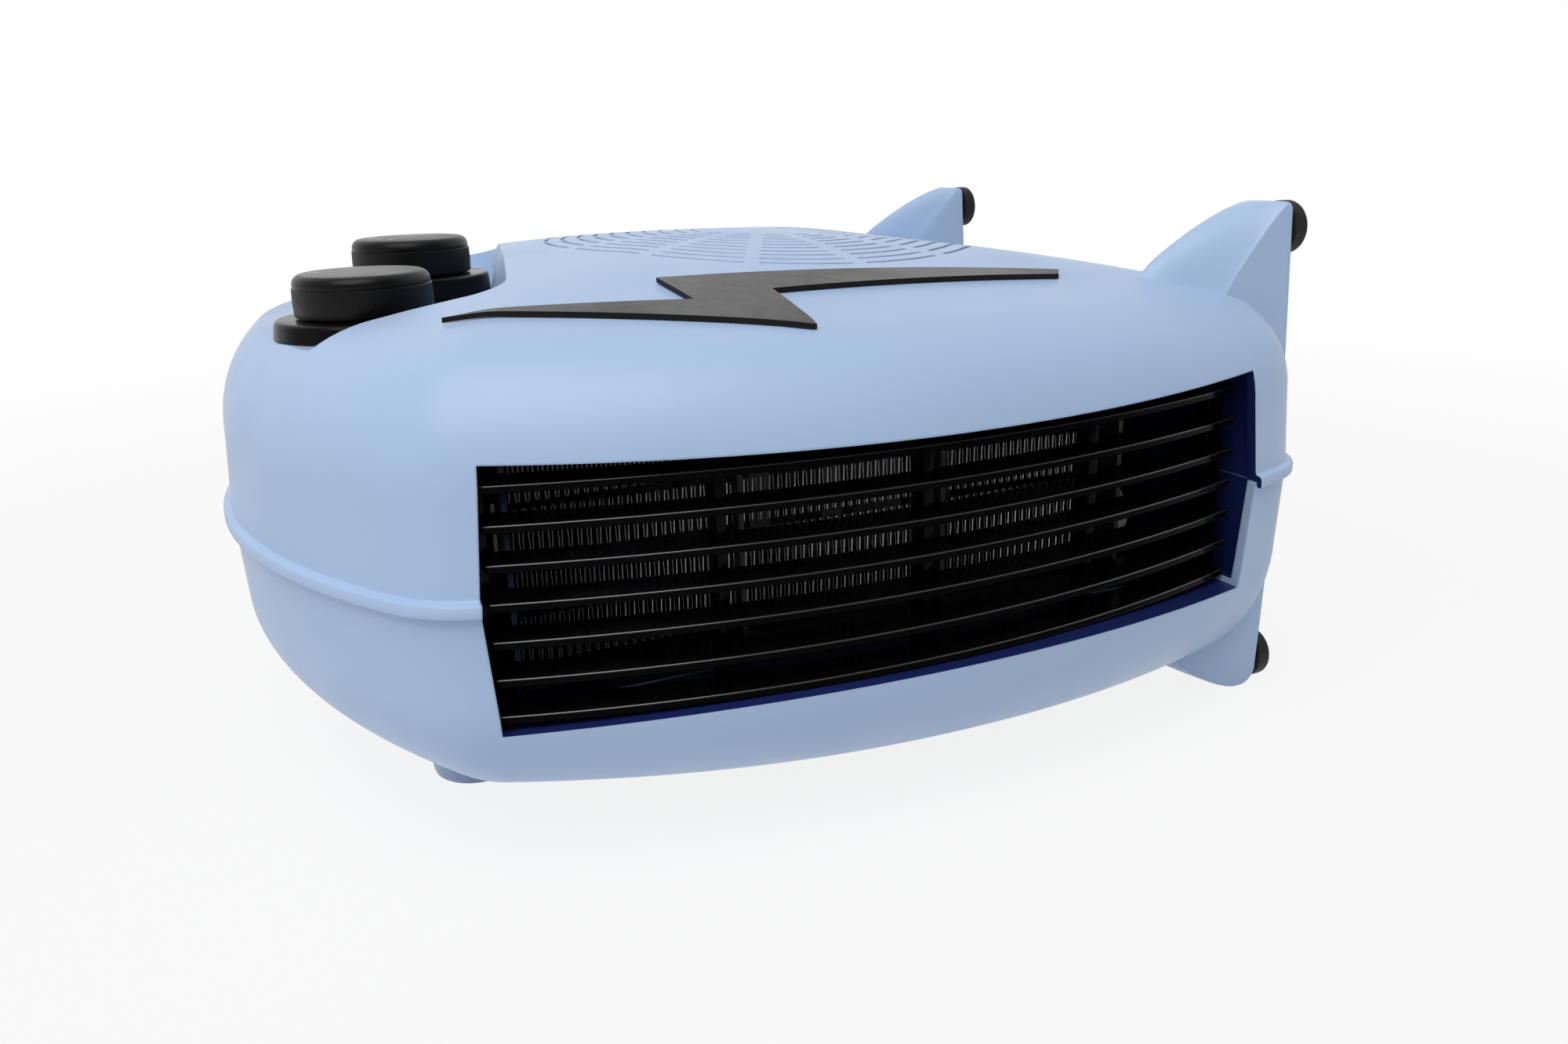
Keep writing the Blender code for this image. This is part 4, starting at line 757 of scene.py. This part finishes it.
def paintLowerLipShade(shell):
    # painted shade: the lip under the grille gets the same dark shade blue as the duct, and its jambs stay
    # light
    dark = shell.data.materials.find(ductShadeBlue.name)
    for face in shell.data.polygons:
        x, y, z = face.center
        height = body["parting"] - z
        inLip = abs(height - outlet["lip"]) < outlet["sag"] and abs(x - outlet["x"]) < outlet["half"]
        if inLip and y < body["frontY"] + duct["back"] and face.normal.z > 0.7:
            face.material_index = dark


def makeUpperShell():
    shell = shellSolid("upperShell", upperForm, shellRes, bead=True)
    shell.data.materials.append(shellBlue)
    skin = BVHTree.FromObject(shell, bpy.context.evaluated_depsgraph_get())
    wings = joinPieces([wingSolid("wing", middle, upperForm, skin) for middle in wing["mids"]], "wings")
    combine(shell, wings, "UNION")
    hollow = shellSolid("upperHollow", upperForm, innerRes, offset=body["wall"], base=-body["wall"])
    # painted shade: the upper shell's inside faces take the dark shade blue
    hollow.data.materials.append(ductShadeBlue)
    pocketBed = pocketTool("pocketBed", body["wall"], pocket["floor"] - body["wall"], False)
    combine(hollow, pocketBed, "DIFFERENCE")
    combine(hollow, ductTool(upperForm), "DIFFERENCE")
    parting = body["parting"]
    columns = posts(screws["places"], screws["column"],
                    parting + body["seam"], parting + screws["columnTop"])
    combine(hollow, columns, "DIFFERENCE")
    combine(shell, hollow, "DIFFERENCE")
    combine(shell, pocketTool("pocketTool", 0.0, pocket["floor"], True), "DIFFERENCE")
    combine(shell, outletTool(upperForm), "DIFFERENCE")
    combine(shell, slotTools(), "DIFFERENCE")
    holes = posts(knobAxes.values(), spindleHole, parting + 0.0197, parting + 0.0477)
    combine(shell, holes, "DIFFERENCE")
    pilots = posts(screws["places"], screws["shank"] + body["gap"],
                   parting - body["gap"], parting + screws["pilotTop"])
    combine(shell, pilots, "DIFFERENCE")
    finishPiece(shell, "upperShell", None, "body", ["upper_shell"])


rest = {"x": -0.07910, "across": 0.0312, "radius": 0.0105}
motorPost = {"reach": 0.0200, "radius": 0.0050, "top": 0.0180}
bush = {"x": 0.07290, "z": 0.0510, "radius": 0.0065, "bore": 0.0038, "flange": 0.0018, "length": 0.0100}


def bushPlace():
    rear = 2 * body["midY"] - frontSurface(bush["x"]) - wallInset(body["parting"] - bush["z"])
    return lambda p: Vector((bush["x"] + p.x, rear + p.z, bush["z"] - p.y))


def makeLowerShell():
    shell = shellSolid("lowerShell", lowerForm, shellRes, bead=True)
    shell.data.materials.append(shellBlue)
    skin = BVHTree.FromObject(shell, bpy.context.evaluated_depsgraph_get())
    added = [wingSolid("wing", middle, lowerForm, skin) for middle in wing["mids"]]
    for across in (-rest["across"], rest["across"]):
        r = rest["radius"]
        profile = [(r * 0.80, 0.0), (r * 0.90, r * 0.02), (r * 0.97, r * 0.07), (r, r * 0.14),
                   (r * 1.05, r * 0.45), (r * 1.13, r * 0.9), (r * 1.30, r * 1.35), (r * 1.8, r * 2.2),
                   (r * 1.8, body["parting"] - body["straightTop"])]
        added.append(skinRings("rest", turnRings(profile, 40, (rest["x"], body["midY"] + across))))
    combine(shell, joinPieces(added, "added"), "UNION")
    hollow = shellSolid("lowerHollow", lowerForm, innerRes, offset=body["wall"], base=-body["wall"])
    # painted shade: the lower shell's inside faces take the dark shade blue
    hollow.data.materials.append(ductShadeBlue)
    combine(hollow, ductTool(lowerForm), "DIFFERENCE")
    parting = body["parting"]
    combine(hollow, posts(screws["places"], screws["column"], 0.0, parting - body["seam"]),
            "DIFFERENCE")
    stands = [(body["blowerX"] + side * motorPost["reach"], body["midY"]) for side in (-1, 1)]
    combine(hollow, posts(stands, motorPost["radius"], 0.0, motorPost["top"]), "DIFFERENCE")
    combine(shell, hollow, "DIFFERENCE")
    combine(shell, outletTool(lowerForm), "DIFFERENCE")
    wells = posts(screws["places"], screws["head"] + body["gap"], -body["gap"], parting - screws["land"])
    combine(shell, wells, "DIFFERENCE")
    holes = posts(screws["places"], screws["shank"] + 2 * body["gap"],
                  parting - screws["holeLow"], parting + body["gap"])
    combine(shell, holes, "DIFFERENCE")
    radius = bush["radius"] + body["gap"]
    bore = skinRings("bore", turnRings([(radius, -bush["length"]), (radius, bush["length"])], 32))
    combine(shell, reshape(bore, bushPlace()), "DIFFERENCE")
    finishPiece(shell, "lowerShell", None, "body", ["lower_shell"])
    paintLowerLipShade(shell)


makeUpperShell()
makeLowerShell()
print("shells ready")


# grille
grille = {"recess": 0.0052, "skew": 0.017, "depth": 0.0105, "strip": 0.0050, "fins": 7, "pitch": 0.00770,
          "thick": 0.0016, "middle": -0.0013, "ribs": 3, "ribPitch": 0.0450, "ribThick": 0.0024,
          "setback": 0.0060, "steps": 56, "lean": 0.00025, "edge": 0.0004}


def finNose(x):
    return frontSurface(x) + grille["recess"] + grille["skew"] * (x - outlet["x"])


def makeGrille():
    parts = []
    gap = body["gap"]
    reach = outlet["half"] - gap
    r = grille["thick"] / 2
    deep = grille["depth"] - 2 * gap
    edge = grille["edge"]
    section = []
    for k in range(6):               # rounded upper edge of a front that leans back
        turn = math.radians(90 - 15 * k)
        section.append((grille["lean"] + edge * (1 - math.cos(turn)), r - edge * (1 - math.sin(turn))))
    section += [(0.0, -r + 0.0002), (0.0002, -r), (deep - 0.0003, -r), (deep, -r + 0.0003),
                (deep, r - 0.0003), (deep - 0.0003, r)]
    for i in range(grille["fins"]):
        middle = body["parting"] + grille["middle"] + grille["pitch"] * (i - (grille["fins"] - 1) / 2)
        rings = []
        for k in range(grille["steps"] + 1):
            x = outlet["x"] - reach + 2 * reach * k / grille["steps"]
            rings.append([(x, finNose(x) + gap + y, middle + z) for y, z in section])
        parts.append(skinRings("fin", rings))
    top = duct["clear"] - gap
    half = duct["half"] - gap
    uprights = [(outlet["x"] - half, outlet["x"] - half + grille["strip"]),
                (outlet["x"] + half - grille["strip"], outlet["x"] + half)]
    for i in range(grille["ribs"]):
        x = outlet["x"] + grille["ribPitch"] * (i - (grille["ribs"] - 1) / 2)
        uprights.append((x - grille["ribThick"] / 2, x + grille["ribThick"] / 2))
    for left, right in uprights:
        nose = max(finNose(left), finNose(right)) + grille["setback"]
        back = min(finNose(left), finNose(right)) + grille["depth"] + 4 * gap
        low, high = (left, nose, body["parting"] - top), (right, back, body["parting"] + top)
        parts.append(block("upright", low, high, 0.0004))
    whole = joinPieces(parts, "outletGrille")
    finishPiece(whole, "outletGrille", grilleBlack, "body", ["outlet_grille"], 40.0)
    whole.data.materials.append(finEdgeHighlight)
    for face in whole.data.polygons:     # painted highlight: the fins' upper front edges take the lighter, more reflective glint finish, not the uprights behind them
        x, y, z = face.center
        if y < finNose(x) + 2 * grille["thick"] and face.normal.z > 0.3 and face.normal.y < -0.2:
            face.material_index = 1


makeGrille()
print("grille ready")


# heating element
element = {"rows": 4, "radius": 0.00022, "loops": 72, "height": 0.0102, "pitch": 0.0117, "left": -0.0825,
           "right": 0.0657, "front": 0.0330, "depth": 0.0180}


def makeWires():
    start, stop = element["left"] + element["radius"], element["right"] - element["radius"]
    pitch = (stop - start) / (2 * element["loops"])
    y = body["frontY"] + element["front"] + element["depth"] / 2
    for number in range(1, element["rows"] + 1):
        level = body["parting"] + element["pitch"] * (number - 1 - (element["rows"] - 1) / 2)
        points = [(outlet["x"] + start, y, level)]
        for i in range(2 * element["loops"]):
            side = 1 if i % 2 == 0 else -1
            left = outlet["x"] + start + pitch * i
            bend = pitch * 0.36
            for k in range(7):
                turn = math.pi * k / 6
                points.append((left + pitch / 2 - bend * math.cos(turn), y,
                               level + side * (element["height"] / 2 - bend + bend * math.sin(turn))))
        points.append((outlet["x"] + stop, y, level))
        curve = bpy.data.curves.new("heaterWire", "CURVE")
        curve.dimensions = "3D"
        curve.bevel_depth = element["radius"]
        curve.bevel_resolution = 1
        curve.use_fill_caps = True
        line = curve.splines.new("POLY")
        line.points.add(len(points) - 1)
        for knot, point in zip(line.points, points):
            knot.co = (*point, 1.0)
        wire = bpy.data.objects.new("heaterWire", curve)
        bpy.context.scene.collection.objects.link(wire)
        pick(wire)
        bpy.ops.object.convert(target="MESH")
        wire = bpy.context.object
        finishPiece(wire, f"heaterWire{number}", heaterAlloy, "body",
                    [f"heater_wire_{number}"], 60.0)


makeWires()
print("element ready")


# bolt plate
bolt = {"corners": ((-0.0817, -0.0660), (-0.0140, -0.0948), (-0.0148, -0.0752), (0.0587, -0.0744),
                    (0.0613, -0.0708), (-0.0356, -0.0616), (-0.0330, -0.0769)),
        "thick": 0.0010}


def makeBolt():
    outline = [(body["axisX"] + x, body["midY"] + y) for x, y in bolt["corners"]]
    plate = prismOf("boltPlate", outline, body["parting"] + 0.030, body["parting"] + 0.063)
    gap = body["gap"]
    combine(plate, shellSolid("boltTop", upperForm, shellRes, offset=-gap - bolt["thick"]), "INTERSECT")
    combine(plate, shellSolid("boltBed", upperForm, shellRes, offset=-gap, base=-body["wall"]),
            "DIFFERENCE")
    finishPiece(plate, "boltPlate", inlayBlack, "body", ["bolt_inlay"])
    plate.data.materials.append(boltSideShade)
    # painted shade: the plate's side faces take the darker side finish
    for face in plate.data.polygons:
        if abs(face.normal.z) < 0.5:
            face.material_index = 1


makeBolt()
print("bolt plate ready")


# rubber feet
foot = {"radius": 0.0066, "face": 0.12730, "height": 0.0574, "rim": 0.0013, "dish": 0.0004}


def makeFeet():
    seat = wingFace(foot["height"] - foot["radius"]) + body["gap"]
    deep = foot["face"] - seat
    r, rim = foot["radius"], foot["rim"]
    profile = [(r * 0.9, 0.0), (r, 0.0004)]
    for k in range(6):
        turn = math.pi / 2 * k / 5
        profile.append((r - rim + rim * math.cos(turn), deep - rim + rim * math.sin(turn)))
    profile += [(r * 0.70, deep), (r * 0.62, deep - foot["dish"]), (r * 0.2, deep - foot["dish"])]
    for level, side in (("Upper", 1), ("Lower", -1)):
        for end, middle in zip(("Front", "Rear"), wing["mids"]):
            piece = skinRings("foot", turnRings(profile, 48))
            z = body["parting"] + side * foot["height"]
            reshape(piece, lambda p: Vector((seat + p.z, middle + p.x, z + p.y)))
            finishPiece(piece, f"rubberFoot{end}{level}", footRubber, "body",
                        [f"rubber_foot_{end.lower()}_{level.lower()}"])


makeFeet()
print("feet ready")


# controls
panel = {"low": 0.0433, "high": 0.0471, "raise": 0.0033, "radius": 0.0198, "web": 0.0240, "drop": 0.0015,
         "rim": 0.0013, "taper": 0.0003}


def bossRings(axis, low, high, count=96):
    profile = [(panel["radius"], low)]
    for k in range(5):
        turn = math.pi / 2 * k / 4
        profile.append((panel["radius"] - panel["taper"] - panel["rim"] * (1 - math.cos(turn)),
                        high - panel["rim"] * (1 - math.sin(turn))))
    return turnRings(profile, count, axis)


def makePanel():
    low, high = body["parting"] + panel["low"], body["parting"] + panel["high"]
    first = skinRings("panel", bossRings(knobAxes["selector"], low, high))
    second = skinRings("panelBoss", bossRings(knobAxes["thermostat"], low, high + panel["raise"]))
    combine(first, second, "UNION")
    a, b = Vector(knobAxes["selector"]), Vector(knobAxes["thermostat"])
    across = Vector((-(b - a).y, (b - a).x)).normalized()
    rings = []
    web = high - panel["drop"]
    for inset, height in ((0.0, low), (0.0, web - 0.0008), (0.0003, web - 0.0002), (0.0008, web)):
        side = across * (panel["web"] / 2 - inset)
        rings.append([(p.x, p.y, height) for p in (a - side, b - side, b + side, a + side)])
    combine(first, skinRings("panelWeb", rings), "UNION")
    combine(first, posts(knobAxes.values(), spindleHole, low - 0.001, high + 0.010), "DIFFERENCE")
    finishPiece(first, "controlPanel", panelBlack, "body", ["control_panel"])


knob = {"radius": 0.0150, "edge": 0.0022, "ridges": 150, "ridgeDepth": 0.00008, "inset": 0.0003,
        "bandLow": 0.0007, "bandHigh": 0.0062, "bases": {"selector": 0.1114, "thermostat": 0.1147}}


def knobProfile():
    # fine ridges below, then a small step in to a smooth cap with a broad rounded edge
    r, edge = knob["radius"], knob["edge"]
    side = r - knob["inset"]
    profile = [(r - 0.0007, 0.0), (r - 0.0002, 0.0002), (r - 0.0001, 0.0007), (r, 0.0033),
               (r - 0.0001, 0.0062), (side - 0.0001, 0.0064), (side, 0.0066), (side, 0.0070)]
    for k in range(1, 9):
        turn = math.pi / 2 * k / 8
        profile.append((side - edge * (1 - math.cos(turn)), 0.0070 + edge * math.sin(turn)))
    profile += [(r - 0.0040, 0.00928), (r - 0.0065, 0.00936), (r - 0.0100, 0.00945), (0.0008, 0.0095)]
    return profile


def makeKnob(name, node):
    axis, base = knobAxes[name], knob["bases"][name]
    rings = turnRings(knobProfile(), 2 * knob["ridges"], axis,
                      {"low": knob["bandLow"], "high": knob["bandHigh"], "depth": knob["ridgeDepth"]})
    piece = skinRings("knob", [[(x, y, base + z) for x, y, z in ring] for ring in rings])
    finishPiece(piece, name + "Knob", knobBlack, name, [node], 28.0)
    piece.data.materials.append(knobTopSheen)
    # painted sheen: the flat upward faces take the lighter top finish
    for face in piece.data.polygons:
        if face.normal.z > 0.9:
            face.material_index = 1


tick = {"start": 0.0084, "half": 0.00022, "low": 0.00910, "high": 0.00938, "bevel": 0.00006}


def makeTicks(name, turns):
    axis, base = knobAxes[name], knob["bases"][name]
    marks = []
    for degrees, long in turns:
        low = (tick["start"], -tick["half"], base + tick["low"])
        high = (tick["start"] + long, tick["half"], base + tick["high"])
        mark = block("tick", low, high, tick["bevel"])
        turn = Matrix.Rotation(math.radians(degrees), 3, "Z")
        reshape(mark, lambda p: turn @ p + Vector((axis[0], axis[1], 0.0)))
        marks.append(mark)
    whole = joinPieces(marks, name + "Ticks")
    finishPiece(whole, name + "Ticks", tickPaint, name, [])


makePanel()
makeKnob("selector", "selector_knob")
makeKnob("thermostat", "thermostat_knob")
makeTicks("selector", [(172, 0.0026)])
makeTicks("thermostat", [(187, 0.0022), (210, 0.0013), (233, 0.0022)])
print("controls ready")


# cord bush and screws
def makeBush():
    flange, face = bush["radius"] + bush["flange"], bush["radius"] * 0.4 + body["gap"]
    top = face + bush["flange"]
    bore, radius = bush["bore"], bush["radius"]
    profile = [(bore, -0.0060), (radius, -0.0060), (radius, face), (flange - 0.0003, face),
               (flange, face + 0.0004), (flange, top - 0.0006), (flange - 0.0002, top - 0.0002),
               (flange - 0.0007, top), (bore + 0.0007, top), (bore + 0.0002, top - 0.0002),
               (bore, top - 0.0007), (bore - 0.00001, -0.0050)]
    piece = skinRings("bush", turnRings(profile, 48))
    reshape(piece, bushPlace())
    finishPiece(piece, "cordBush", footRubber, "body", ["cord_bush"])


def makeScrews():
    seat = body["parting"] - screws["land"] - body["gap"]
    head, high = screws["head"], screws["headHeight"]
    length = screws["grip"] + screws["land"] + body["gap"]
    profile = [(head * 0.35, -high), (head * 0.70, -high * 0.95), (head * 0.90, -high * 0.72),
               (head, -high * 0.40), (head, 0.0), (screws["shank"], 0.0),
               (screws["shank"], length - 0.0015), (0.0002, length)]
    for number, place in enumerate(screws["places"], start=1):
        rings = turnRings(profile, 32, place)
        piece = skinRings("screw", [[(x, y, seat + z) for x, y, z in ring] for ring in rings])
        for wide, deep in (screws["recess"], screws["recess"][::-1]):     # cross recess
            slot = block("recess", (place[0] - wide, place[1] - deep, seat - high - 0.001),
                         (place[0] + wide, place[1] + deep, seat - high + screws["recessDepth"]))
            combine(piece, slot, "DIFFERENCE")
        finishPiece(piece, f"shellScrew{number}", brightSteel, "body", [f"shell_screw_{number}"])


makeBush()
makeScrews()
print("bush and screws ready")


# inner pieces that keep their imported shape
innerFinishes = [
    # painted shade: the left mica plate takes the dark shade blue of the duct
    (ductShadeBlue, ("mica_plate_left",)),
    (micaBoard, ("mica_plate_right", "mica_rail_upper", "mica_rail_lower",
                 "mica_spacer_1", "mica_spacer_2")),
    (tabTin, ("heater_terminal_left", "heater_terminal_right")),
    (tabBrass, ("bearing_lower", "bearing_upper", "thermostat_blade")),
    (switchIvory, ("thermal_cutout", "selector_switch", "thermostat_body")),
    (brightSteel, ("selector_spindle", "thermostat_spindle", "motor_rotor", "motor_core",
                   "motor_bracket_lower", "motor_bracket_upper")),
    (coilCopper, ("motor_coil",)),
    (wheelGrey, ("blower_wheel",)),
]
for finish, nodes in innerFinishes:
    for node in nodes:
        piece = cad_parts[node]
        piece.data.materials.clear()
        piece.data.materials.append(finish)
print("inner pieces finished")


# floor and light
studio = {"floor": 5.0, "white": 0.80, "keySize": 1.3, "keyPower": 13.0, "keyPlace": (-0.42, -0.58, 1.30),
          "fillSize": 1.2, "fillPower": 0.9, "fillPlace": (-1.3, -0.2, 0.55), "sky": (0.38, 0.16),
          "fade": (0.25, 0.75)}


def rayShare(tree, amount):
    # share of the view that shows plain white, for the camera and for mirror images
    rays = tree.nodes.new("ShaderNodeLightPath")
    first = mathNode(tree, "MAXIMUM", rays.outputs["Is Camera Ray"], rays.outputs["Is Glossy Ray"])
    second = mathNode(tree, "MAXIMUM", first.outputs[0], rays.outputs["Is Transmission Ray"])
    return mathNode(tree, "MULTIPLY", second.outputs[0], amount).outputs[0]


def makeFloor():
    clearSelection()
    bpy.ops.mesh.primitive_plane_add(size=studio["floor"], location=(0, 0, -0.0002))
    floor = bpy.context.object
    floor.name = "floor"
    paper = bpy.data.materials.new("whitePaper")
    paper.use_nodes = True
    tree = paper.node_tree
    plain = tree.nodes["Principled BSDF"]
    plain.inputs["Base Color"].default_value = (studio["white"], studio["white"], studio["white"], 1.0)
    plain.inputs["Roughness"].default_value = 0.9
    glow = tree.nodes.new("ShaderNodeEmission")
    glow.inputs["Strength"].default_value = 1.0
    mix = tree.nodes.new("ShaderNodeMixShader")
    place = tree.nodes.new("ShaderNodeTexCoord").outputs["Object"]
    away = tree.nodes.new("ShaderNodeVectorMath")
    away.operation = "LENGTH"
    tree.links.new(place, away.inputs[0])
    far = rangeNode(tree, away.outputs["Value"], *studio["fade"], 0.86, 1.0)     # no shadow reaches this far
    tree.links.new(rayShare(tree, far.outputs["Result"]), mix.inputs["Fac"])
    tree.links.new(plain.outputs["BSDF"], mix.inputs[1])
    tree.links.new(glow.outputs["Emission"], mix.inputs[2])
    tree.links.new(mix.outputs["Shader"], tree.nodes["Material Output"].inputs["Surface"])
    floor.data.materials.append(paper)


def makeLamp(name, place, size, power, target):
    clearSelection()
    bpy.ops.object.light_add(type="AREA", location=place)
    lamp = bpy.context.object
    lamp.name = name
    lamp.data.shape = "DISK"
    lamp.data.size = size
    lamp.data.energy = power
    lamp.rotation_euler = (Vector(target) - Vector(place)).to_track_quat("-Z", "Y").to_euler()


def makeSky():
    world = bpy.data.worlds.new("studioSky")
    bpy.context.scene.world = world
    world.use_nodes = True
    tree = world.node_tree
    soft = tree.nodes["Background"]
    soft.inputs["Color"].default_value = (1, 1, 1, 1)
    place = tree.nodes.new("ShaderNodeTexCoord").outputs["Generated"]
    split = tree.nodes.new("ShaderNodeSeparateXYZ")
    tree.links.new(place, split.inputs["Vector"])
    level = rangeNode(tree, split.outputs["X"], -1.0, 1.0, *studio["sky"])     # dimmer towards the base end
    tree.links.new(level.outputs["Result"], soft.inputs["Strength"])
    white = tree.nodes.new("ShaderNodeBackground")
    white.inputs["Color"].default_value = (1, 1, 1, 1)
    white.inputs["Strength"].default_value = 1.0
    ahead = tree.nodes.new("ShaderNodeVectorMath")
    ahead.operation = "DOT_PRODUCT"
    ahead.inputs[1].default_value = (math.sin(view["yaw"]), math.cos(view["yaw"]), 0.0)
    tree.links.new(place, ahead.inputs[0])
    backdrop = rangeNode(tree, ahead.outputs["Value"], -0.2, 0.2)     # white behind the heater
    mix = tree.nodes.new("ShaderNodeMixShader")
    tree.links.new(rayShare(tree, backdrop.outputs["Result"]), mix.inputs["Fac"])
    tree.links.new(soft.outputs["Background"], mix.inputs[1])
    tree.links.new(white.outputs["Background"], mix.inputs[2])
    tree.links.new(mix.outputs["Shader"], tree.nodes["World Output"].inputs["Surface"])


makeFloor()
makeLamp("keyLamp", studio["keyPlace"], studio["keySize"], studio["keyPower"], (0, 0, 0.06))
makeLamp("fillLamp", studio["fillPlace"], studio["fillSize"], studio["fillPower"], (0, 0, 0.06))
makeSky()
bpy.context.scene.view_settings.view_transform = "Standard"
print("studio ready")
